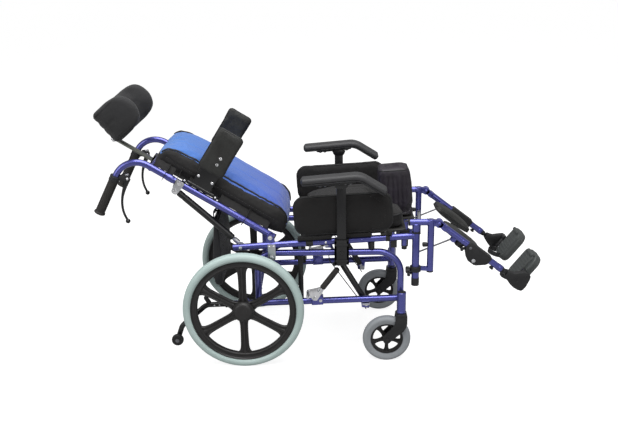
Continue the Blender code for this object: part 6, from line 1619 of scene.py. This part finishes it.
def buildPommel():
    half = (pad["pommelFront"] - pad["pommelRear"]) / 2
    centre = Vector(((pad["pommelFront"] + pad["pommelRear"]) / 2, 0, pad["rest"]))
    shape = mm(0, 6, 0, 6, 1.6, 0, 30, 0.6, 0, 60, 0, 0, 120, 0, 1, 150, 1, 3, 160, 2.6, 5, 169, 6, 8,
        173.5, 11, 11, 175.2, 20, 16, 176, 34, 22, step=3)
    rings = []
    for k in range(61):
        height = pad["pommelHeight"] * k / 60
        for (h0, i0, l0), (h1, i1, l1) in zip(shape, shape[1:]):
            if h0 <= height <= h1 + 1e-9:
                part = (height - h0) / (h1 - h0)
                inset, lean = i0 + (i1 - i0) * part, l0 + (l1 - l0) * part
                break
        line = closedLine([(x, y, 0) for x, y in pommelOutline(half, inset, lean)], Matrix.Identity(4),
            pad["pleats"] * 10)
        rise = min(1.0, height / 0.03) * max(0.0, 1.0 - max(0.0, height - 0.118) / 0.045)
        ring = []
        for i, spot in enumerate(line):
            phase = 2 * math.pi * i / 10 + 0.35 * math.sin(height * 70 + i * 0.21)
            depth = 0.0024 * rise * (0.5 + 0.5 * math.cos(phase)) ** 1.3
            fold = 0.001 * noise.noise(Vector((spot.x * 60, spot.y * 60, height * 22))) * rise
            inward = Vector((spot.x / half, spot.y / pad["pommelHalf"], 0))
            ring.append(centre + Vector((spot.x, spot.y, height)) - inward * (depth + 0.001 + fold))
        rings.append(ring)
    pommel = puffed("pommel", placed(skinned(rings), seatFrame), 0.005, 0.0012, None)
    top = pad["rest"] + 0.166
    upholstered(pommel, "seat", [pleated], ["pommel"])
    line = closedLine([(centre.x + x, y, top) for x, y in pommelOutline(half, 0.005, 0.008)], seatFrame,
        120)
    seam = seamed(pommel, [line], 0.0006, 0.0022)
    trimmed("pommelPiping", "seat", seam, 0.0017, piping, 0.0008)
    foot = closedLine([(centre.x + x, y, pad["rest"] + 0.007) for x, y in pommelOutline(half, 0.0004, 0.0)],
        seatFrame, 120)
    trimmed("pommelHem", "seat", seamed(pommel, [foot], 0.0003, 0.002), 0.0014, piping, 0.0002)


def buildHipPad(side, word):
    rest = pad["rest"]
    centre = ((pad["hipFront"] + pad["hipRear"]) / 2, 0, rest + pad["hipHeight"] / 2 - 0.001)
    halfX, halfZ = (pad["hipFront"] - pad["hipRear"]) / 2, pad["hipHeight"] / 2
    levels = []
    for share, inset in ((0.0, 0.05), (0.04, 0.034), (0.1, 0.02), (0.2, 0.009), (0.32, 0.003),
            (0.42, 0.001), (0.5, 0.0018), (0.58, 0.001), (0.68, 0.003), (0.8, 0.009), (0.9, 0.02),
            (0.96, 0.034), (1.0, 0.05)):
        levels.append((side * (pad["hipIn"] + pad["hipThick"] * share), inset))
    cover = puffed("hipPad_" + word, placed(padShape(centre, halfX, halfZ, pad["hipCorner"], levels, "Y"),
        seatFrame), 0.0042, 0.0026)
    outlines = []
    for y in (side * (pad["hipIn"] + pad["hipThick"] * 0.2), side * (pad["hipIn"] + pad["hipThick"] * 0.8)):
        outlines.append(padLine(centre, halfX - 0.008, halfZ - 0.008, 0.04, seatFrame, "Y", y, 9, 150))
    lines = seamed(cover, outlines, 0.0012, 0.0028)
    face = side * (pad["hipIn"] + pad["hipThick"])
    hem = Piece("hipPadHem_" + word, "seat", seatFrame)
    for start, end in ((0.184, 0.296), (0.332, 0.424), (0.476, 0.492)):
        hem.add(velour, block((start, side * 0.18, 0.0125), (end, side * 0.202, 0.0235), 0.0018))
    hem.done("black_cloth")
    arc = []
    for i in range(13):
        angle = math.radians(-62 + 124 * i / 12)
        arc.append((0.386 + 0.088 * math.cos(angle), face, centre[2] + 0.064 * math.sin(angle)))
    arcLine = seamed(cover, [openLine(arc, seatFrame, 60)], 0.0011, 0.0024)
    crinkled(cover, 30, 0.0005)
    upholstered(cover, "seat", [velour], ["hip_pad_" + word])
    trimmed("hipPadPiping_" + word, "seat", lines, 0.0017, piping, 0.0006)
    stitched("hipPadStitches_" + word, "seat", arcLine)


buildSeat()
buildPommel()
for side, word in sides:
    buildHipPad(side, word)
print("seat cushions filled")


# back cushion

cushion = {"low": -0.042, "high": 0.453, "panel": 0.128, "face": 0.091,
    "profile": ((0.0, 0.33), (0.016, 0.604), (0.048, 0.835), (0.105, 0.967), (0.206, 1.0), (0.408, 1.0),
    (0.61, 1.0), (0.772, 0.978), (0.893, 0.912), (0.958, 0.802), (0.988, 0.604), (1.0, 0.33))}


def panelLooks():
    # painted light: brighter at the head end, where more light falls, and a shaded, deeper violet-blue
    # towards the seat
    looks = Looks("bluePanel", (0.055, 0.15, 0.56), 0.68, Sheen_Weight=0.25)
    weave = threads(looks, 0.0019)
    # share runs from the seat end to the head end and sets how much painted light the panel gets
    share = looks.ranged(looks.along(axisOf(backFrame, (-1, 0, 0)), tuple(backFrame.translation)), 0.02,
        0.46)
    base = looks.mixed(share, (0.05, 0.1, 0.43), (0.045, 0.18, 0.52))
    fade = looks.ranged(looks.cloud(9.0, 4.0), 0.35, 0.75)
    base = looks.mixed(fade * 0.25, base, (0.06, 0.16, 0.54))
    looks.colour(looks.mixed(looks.ranged(weave, -1.2, 1.4) * 0.3, base, (0.02, 0.05, 0.26)))
    looks.rough(looks.ranged(looks.cloud(600.0), 0.3, 0.7, 0.62, 0.74))
    return looks.raised(weave * 0.4 + looks.cloud(40.0, 3.0) * 5.0, 0.0003).material


bluePanel = panelLooks()


def buildBackCushion():
    cover = puffed("backCushion", copied("back_cushion"), 0.011, 0.003, 0.006)
    inverse = backFrame.inverted()
    low, high, half, face = cushion["low"], cushion["high"], cushion["panel"], cushion["face"]
    bands = []
    for side in (-1, 1):
        line = [(-(low + (high - low) * share), side * half, face * depth) for share,
            depth in cushion["profile"] if depth > 0.55]
        bands.append(openLine(line, backFrame, 150))
    lines = seamed(cover, bands, 0.0022, 0.004)
    channels = []
    for y in (-0.045, 0.045):
        channels.append(openLine([(-u, y, face + 0.006) for u in (0.0, 0.11, 0.22, 0.33, 0.42)], backFrame,
            100))
    seamed(cover, channels, 0.0022, 0.0055)
    belly = [[(-u, side * 0.146, face * 0.5) for u in (0.0, 0.11, 0.22, 0.33, 0.42)] for side in (-1, 1)]
    sideLines = seamed(cover, [openLine(line, backFrame, 100) for line in belly], 0.0014, 0.004)
    crinkled(cover, 18, 0.0008)

    def choose(point):
        local = inverse @ point
        return 1 if -half < local.y < 0.113 and local.z > face * 0.5 else 0

    upholstered(cover, "back", [blackCloth, bluePanel], ["back_cushion"], choose=choose)
    trimmed("backCushionPiping_right", "back", lines[:1], 0.003, piping, 0.001, False)
    trimmed("backCushionPiping_left", "back", lines[1:], 0.0056, blackCloth, 0.0012, False)
    stitched("backCushionStitches", "back", sideLines)
    tabs = Piece("backCushionTies", "back", backFrame)
    for side in (-1, 1):
        for u in (0.1, 0.355, 0.395):
            path = smoothLine((up(u, side * 0.1405, 0.03), up(u, side * 0.1475, 0.016),
                up(u, side * 0.152, -0.004), up(u, side * 0.163, -0.0128), up(u, side * 0.1748, 0.0),
                up(u, side * 0.166, 0.0118), up(u, side * 0.1515, 0.02), up(u, side * 0.141, 0.034)), 6)
            tabs.add(webbing, swept(path, [(a, b) for a, b in roundedRectangle(0.0085, 0.0007, 0.0006, 3)]))
        # cloth drawn from the cushion's side to the tube
        for start, end in ((0.02, 0.203), (0.236, 0.32), (0.372, 0.442)):
            rows = []
            for k in range(13):
                u = start + (end - start) * k / 12
                pull = 0.0008 * math.sin(k * 1.7)
                rows.append([up(u, side * a, n + pull) for a,
                    n in mm(138.5, 31, 146.5, 22.5, 154.5, 9.8, 153, 8.5, 145, 20.5, 137.2, 29.2)])
            tabs.add(blackCloth, skinned(rows))
    tabs.done("black_cloth")


buildBackCushion()
print("back cushion filled")


# side pads of the back

lateral = {"low": 0.226, "high": 0.324, "hinge": 0.0195, "in": 0.155, "thick": 0.015, "base": 0.078,
    "top": 0.236}


def buildLateral(side, word):
    body = "lateral_pad_" + word
    low, high, nearBack, top = lateral["low"], lateral["high"], lateral["base"], lateral["top"]
    hingeY = side * back["y"]
    hard = Piece("lateralHinge_" + word, body, backFrame)
    profile = mm(0, 5.4, 1.2, 6.4)
    for i in range(5):
        start = (high - low) * (i + 1) / 6
        profile += [(start - 0.0008, 0.0064), (start - 0.0004, 0.0057), (start + 0.0004, 0.0057),
            (start + 0.0008, 0.0064)]
    profile += [(high - low - 0.0012, 0.0064), (high - low, 0.0054)]
    hard.add(blackPaint, spun(up(low, hingeY, lateral["hinge"]), up(high, hingeY, lateral["hinge"]),
        profile, 28), block(up(low + 0.016, side * (back["y"] - 0.003), lateral["hinge"]),
        up(high - 0.016, side * (back["y"] + 0.003), nearBack + 0.03), 0.001))
    for u, n in ((0.266, 0.142), (0.267, 0.119), (0.25, 0.055), (0.3, 0.055)):
        onPad = n > 0.1
        y = side * (lateral["in"] + lateral["thick"] - 0.0006 if onPad else back["y"] + 0.0028)
        hard.add(chrome, domeBolt(up(u, y, n), (0, side, 0), 0.0062 if onPad else 0.0046,
            0.0034 if onPad else 0.0024))
    hard.done("black_steel", "lateral_pad_" + word)
    centre = up((low + high) / 2, 0, (top + nearBack) / 2)
    levels = []
    for depth, inset in mm(0, 12, 1.2, 6, 3.5, 1.5, 6, 0, 9, 0, 11.5, 1.5, 13.8, 6, 15, 12):
        levels.append((side * (lateral["in"] + depth), inset))
    shape = placed(padShape(centre, (high - low) / 2, (top - nearBack) / 2, 0.018, levels, "Y"), backFrame)
    cover = puffed("lateralPad_" + word, shape, 0.003, 0.0014, 0.004)
    outlines = []
    for y in (side * (lateral["in"] + 0.0028), side * (lateral["in"] + lateral["thick"] - 0.0028)):
        outlines.append(padLine(centre, (high - low) / 2 - 0.003, (top - nearBack) / 2 - 0.003, 0.016,
            backFrame, "Y", y))
    seams = seamed(cover, outlines, 0.0006, 0.002)
    crinkled(cover, 40, 0.0004)
    upholstered(cover, body, [skai])
    trimmed("lateralPiping_" + word, body, seams, 0.0013, piping, 0.0004)
    edge = [openLine([(-u, side * (lateral["in"] + lateral["thick"]), 0.142)
        for u in (low + 0.006, (low + high) / 2, high - 0.006)], backFrame, 40)]
    stitched("lateralStitches_" + word, body, seamed(cover, edge, 0.0004, 0.0016), 0.0035, 0.002, 0.0005)


for side, word in sides:
    buildLateral(side, word)
print("side pads filled")


# headrest

head = {"low": -0.022, "high": 0.106, "back": 0.021, "front": 0.17, "dome": 0.054, "half": 0.13,
    "thick": 0.042, "barHalf": 0.015, "barFace": -0.025, "barThick": 0.006, "barLow": 0.33,
    "pivot": (0.605, -0.028), "tilt": math.radians(18)}
headFrame = turnedFrame(-head["pivot"][0], head["pivot"][1], head["tilt"], backFrame)


def headLine(front, outside):
    # outer or inner line of the wrap seen from above, in (y, n)
    deep = front - head["back"] - head["thick"] / 2
    line = []
    steps = 26
    for i in range(steps + 1):
        angle = math.pi * i / steps
        across, ahead = math.cos(angle), max(0.0, math.sin(angle))
        if outside:
            y = -head["half"] * math.copysign(abs(across) ** 0.35, across)
            line.append((y, head["back"] + deep * (1 - ahead ** 0.3)))
        else:
            y = -(head["half"] - head["thick"]) * across
            line.append((y, head["back"] + head["thick"] + (deep - head["thick"]) * (1 - ahead ** 0.8)))
    return line


def headSection(share, inset):
    # the closed line round the wrap at one height, its wings shorter towards both edges
    lean = 2 * share - 1
    front = head["front"] - head["dome"] * (1 - math.sqrt(max(0.0, 1 - lean * lean)))
    middle = head["half"] - head["thick"] / 2
    tip = []
    for i in range(7):
        angle = math.pi * (i + 0.5) / 7
        tip.append((middle + head["thick"] / 2 * math.cos(angle),
            front - head["thick"] / 2 + head["thick"] / 2 * math.sin(angle)))
    line = headLine(front, True) + tip + list(reversed(headLine(front, False))) + [(-y, n) for y,
        n in reversed(tip)]
    moved = []
    count = len(line)
    for i, (y, n) in enumerate(line):
        ahead, behind = line[(i + 1) % count], line[i - 1]
        along = Vector((ahead[0] - behind[0], ahead[1] - behind[1]))
        along = along.normalized() if along.length > 1e-7 else Vector((1, 0))
        moved.append((y - along.y * inset, n + along.x * inset))
    return [up(head["low"] + (head["high"] - head["low"]) * share, y, n) for y, n in moved]


def buildHeadrest():
    pu, pn = head["pivot"]
    rear = head["barFace"] - head["barThick"]
    stem = Piece("headrestBar", "headrest_stem", backFrame)
    stem.add(oliveSteel, block(up(head["barLow"], -head["barHalf"], rear),
        up(pu - 0.004, head["barHalf"], head["barFace"]), 0.0014))
    # black discs along the bar at its adjustment holes, painted shade in the holes
    for i in range(6):
        u = head["barLow"] + 0.02 + i * 0.03
        stem.add(holeShade, spun(up(u, 0, head["barFace"] - 0.0004), up(u, 0, 0.0), mm(0, 3.2, 0.6, 3), 20))
    stem.add(zinc, spun(up(pu, -head["barHalf"], pn), up(pu, head["barHalf"], pn),
        mm(0, 6.2, 1, 7, 29, 7, 30, 6.2), 32), *hexBolt(up(0.475, 0, rear), (0, 0, -1), 0.0045, 0.004))
    stem.done("bright_steel", "headrest_bar")
    ears = Piece("headrestEars", "headrest", headFrame)
    for side in (-1, 1):
        inside = head["barHalf"] + 0.0005
        ears.add(zinc, plate(((-0.009, head["back"] + 0.008), (-0.009, -0.002), (-0.005, -0.007),
            (0.005, -0.007), (0.009, -0.002), (0.009, head["back"] + 0.008)), side * inside,
            side * (inside + 0.004), 0.0008))
        ears.add(chrome, *hexBolt(up(0, side * (inside + 0.0038), 0), (0, side, 0), 0.0052, 0.004))
    ears.add(zinc, block(up(-0.014, -0.0195, head["back"] - 0.002), up(0.014, 0.0195, head["back"] + 0.004),
        0.0008))
    ears.done("bright_steel", "headrest_pad")
    rings = []
    for i in range(25):
        share = i / 24
        edge = min(share, 1 - share)
        inset = 0.013 * max(0.0, 1 - edge / 0.14) ** 2.2
        rings.append(headSection(share, inset))
    cover = puffed("headrestPad", placed(skinned(rings), headFrame), 0.005, 0.0026)
    height = head["high"] - head["low"]
    creases = []
    for share, start in ((0.3, 0.1), (0.52, 0.04), (0.74, 0.1)):
        line = []
        for y, n in headLine(head["front"], True):
            if n < head["front"] - start - 0.03:
                line.append((-(head["low"] + height * share), y, n))
        creases.append(openLine(line, headFrame, 100))
    seamed(cover, creases, 0.0016, 0.006)
    edges = []
    for share in (0.1, 0.9):
        lean = 2 * share - 1
        front = head["front"] - head["dome"] * (1 - math.sqrt(1 - lean * lean)) - 0.004
        edges.append(openLine([(-(head["low"] + height * share), y, n) for y, n in headLine(front, True)],
            headFrame, 160))
    outerLines = seamed(cover, edges, 0.001, 0.0026)
    crinkled(cover, 26, 0.0012)
    upholstered(cover, "headrest", [charcoal])
    trimmed("headrestPiping", "headrest", outerLines, 0.0014, piping, 0.0004, False)


buildHeadrest()
print("headrest filled")


# calf pads

calf = {"start": 0.035, "end": 0.195, "in": 0.06, "out": 0.16, "top": 0.005, "thick": 0.026}


def buildCalfPad(side, word):
    body = "legrest_" + word
    thick = calf["thick"]
    centre = ((calf["start"] + calf["end"]) / 2, side * (calf["in"] + calf["out"]) / 2, calf["top"] - thick)
    levels = mm(0, 12, 1.5, 5, 4, 1, 9, 0, 13, 1, 19.5, 3, 22.8, 8, 24.6, 15, 25.6, 24, 26, 32)
    halfA, halfY = (calf["end"] - calf["start"]) / 2, (calf["out"] - calf["in"]) / 2
    cover = puffed("calfPad_" + word, placed(padShape(centre, halfA, halfY, 0.03, levels, "Z"), legFrame),
        0.005, 0.0022, 0.0045)
    outlines = [padLine(centre, halfA - 0.001, halfY - 0.001, 0.029, legFrame, "Z", h)
        for h in (0.0045, 0.0195)]
    seams = seamed(cover, outlines, 0.0008, 0.0022)
    crinkled(cover, 36, 0.0005)
    upholstered(cover, body, [skai], ["calf_pad_" + word])
    trimmed("calfPiping_" + word, body, seams, 0.0015, piping, 0.0005)


for side, word in sides:
    buildCalfPad(side, word)
print("calf pads filled")


# storage bag: an open shell that sags between its loops

bag = {"pivot": (0.195, -0.034), "half": 0.14, "thick": 0.03, "top": 0.03}


def buildBag():
    spot = backFrame @ up(bag["pivot"][0], 0, bag["pivot"][1])
    outer = ((0.0, 0.01, 0.3), (0.004, 0.006, 0.34), (0.02, 0.003, 0.46), (0.06, 0.001, 0.68),
        (0.11, 0.0, 0.88), (0.16, 0.001, 0.97), (0.2, 0.003, 0.98), (0.222, 0.006, 0.92),
        (0.233, 0.011, 0.74), (0.239, 0.019, 0.45))
    wall = 0.0012
    sections = [(h + 0.003, i + wall, s, wall) for h, i, s in reversed(outer[:-2])]
    sections += [(0.0005, 0.0106, 0.29, wall * 0.5)]
    sections += [(h, i, s, 0.0) for h, i, s in outer]
    rings = []
    for height, inset, share, thin in sections:
        ring = []
        halfX = max(0.0022, bag["thick"] / 2 * share - thin)
        for x, y in roundedRectangle(halfX, bag["half"] - inset, min(0.0045, halfX * 0.9), 5):
            line = y / bag["half"]
            sag = 0.011 * (1 - line * line) * math.exp(-height / 0.05) - 0.004 * (1 - line * line) * (height
                / 0.24)
            fold = 0.0012 * noise.noise(Vector((y * 26, height * 15,
                0.3 if x > 0 else 4.1))) * share * min(1.0, height / 0.03)
            ring.append(spot + Vector((x + math.copysign(max(0.0, fold), -x) * 0.8, y,
                -bag["top"] - height - sag)))
        rings.append(ring)
    fine = []
    for first, second in zip(rings, rings[1:]):
        parts = max(1, int((first[0] - second[0]).length / 0.008))
        fine += [[a.lerp(b, k / parts) for a, b in zip(first, second)] for k in range(parts)]
    fine.append(rings[-1])
    piece = Piece("storageBag", "bag", Matrix.Identity(4))
    piece.add(nylon, skinned(fine))
    # binding at the mouth and the loops it hangs by
    binding = []
    for x, y in roundedRectangle(0.0052, bag["half"] - 0.0085, 0.0045, 8):
        line = y / bag["half"]
        binding.append(spot + Vector((x, y, -bag["top"] - 0.003 - 0.011 * (1 - line * line))))
    piece.add(webbing, swept(closedLine(binding, Matrix.Identity(4), 150),
        roundedRectangle(0.001, 0.004, 0.0008, 3), True))
    for side in (-1, 1):
        y = side * bag["half"] * 0.9
        strap = smoothLine((spot + Vector((-0.0036, y, -bag["top"] - 0.018)),
            spot + Vector((-0.0062, y, -0.016)), spot + Vector((-0.0058, y, -0.002)),
            spot + Vector((0, y, 0.0056)), spot + Vector((0.0058, y, -0.002)),
            spot + Vector((0.0062, y, -0.016)), spot + Vector((0.0036, y, -bag["top"] - 0.018))), 8)
        piece.add(webbing, swept(strap, [(b, a) for a, b in roundedRectangle(0.0008, 0.008, 0.0007, 3)]))
    piece.done("black_cloth", "storage_bag")


buildBag()
print("bag hung")


# floor, light and camera

def softLight(name, place, target, size, power):
    lamp = bpy.data.lights.new(name, "AREA")
    lamp.shape = "RECTANGLE"
    lamp.size, lamp.size_y = size
    lamp.energy = power
    obj = bpy.data.objects.new(name, lamp)
    obj.location = place
    obj.rotation_euler = (Vector(target) - Vector(place)).to_track_quat("-Z", "Y").to_euler()
    bpy.context.scene.collection.objects.link(obj)


def buildStudio():
    world = bpy.data.worlds.new("studio")
    bpy.context.scene.world = world
    world.use_nodes = True
    tree = world.node_tree
    backdrop = tree.nodes["Background"]
    rays = tree.nodes.new("ShaderNodeLightPath")
    seen = Wire(tree, rays.outputs["Is Camera Ray"]).greater(Wire(tree,
        rays.outputs["Is Transmission Ray"]))
    backdrop.inputs["Color"].default_value = (1, 1, 1, 1)
    feed(tree, backdrop.inputs["Strength"], seen * 0.62 + 0.38)
    floor = bpy.data.meshes.new("floor")
    floorZ = -0.0002
    floor.from_pydata([(x, y, floorZ) for x, y in ((-30, -12), (30, -12), (30, 60), (-30, 60))], [],
        [(0, 1, 2, 3)])
    looks = Looks("floor", (0.42, 0.42, 0.42), 0.85)
    looks.rough(looks.ranged(looks.cloud(40.0), 0.3, 0.7, 0.8, 0.9))
    sight = looks.node("ShaderNodeLightPath", {}, {}, "Is Camera Ray")
    looks.shader.inputs["Emission Color"].default_value = (1, 1, 1, 1)
    feed(looks.tree, looks.shader.inputs["Emission Strength"], sight * 0.82)
    floor.materials.append(looks.material)
    ground = bpy.data.objects.new("floor", floor)
    bpy.context.scene.collection.objects.link(ground)
    softLight("overhead", (0.1, -0.6, 2.9), (0.1, 0.0, 0.3), (2.6, 2.6), 96)
    softLight("leftFill", (-2.4, -1.6, 1.5), (0.0, 0.0, 0.4), (1.6, 1.8), 18)
    softLight("frontFill", (1.6, -2.8, 1.8), (0.2, 0.0, 0.4), (2.0, 1.8), 17)


def buildCamera():
    yaw, pitch, roll = -0.0221, 0.3191, -0.0202
    ahead = Vector((math.sin(yaw) * math.cos(pitch), math.cos(yaw) * math.cos(pitch), -math.sin(pitch)))
    right = Vector((math.cos(yaw), -math.sin(yaw), 0))
    above = right.cross(ahead)
    across = right * math.cos(roll) + above * math.sin(roll)
    upward = above * math.cos(roll) - right * math.sin(roll)
    lens = bpy.data.cameras.new("camera")
    focal, imageWidth = 841.496, 618
    lens.sensor_width = 36
    lens.lens = focal / imageWidth * lens.sensor_width
    lens.clip_end = 60
    camera = bpy.data.objects.new("camera", lens)
    place = chairFrame @ Vector((0.27872783, -2.77558437, 1.36008912))
    camera.matrix_world = Matrix.Translation(place) @ Matrix((across, upward, -ahead)).transposed().to_4x4()
    bpy.context.scene.collection.objects.link(camera)
    bpy.context.scene.camera = camera


buildStudio()
buildCamera()
bpy.context.scene.view_settings.view_transform = "Standard"
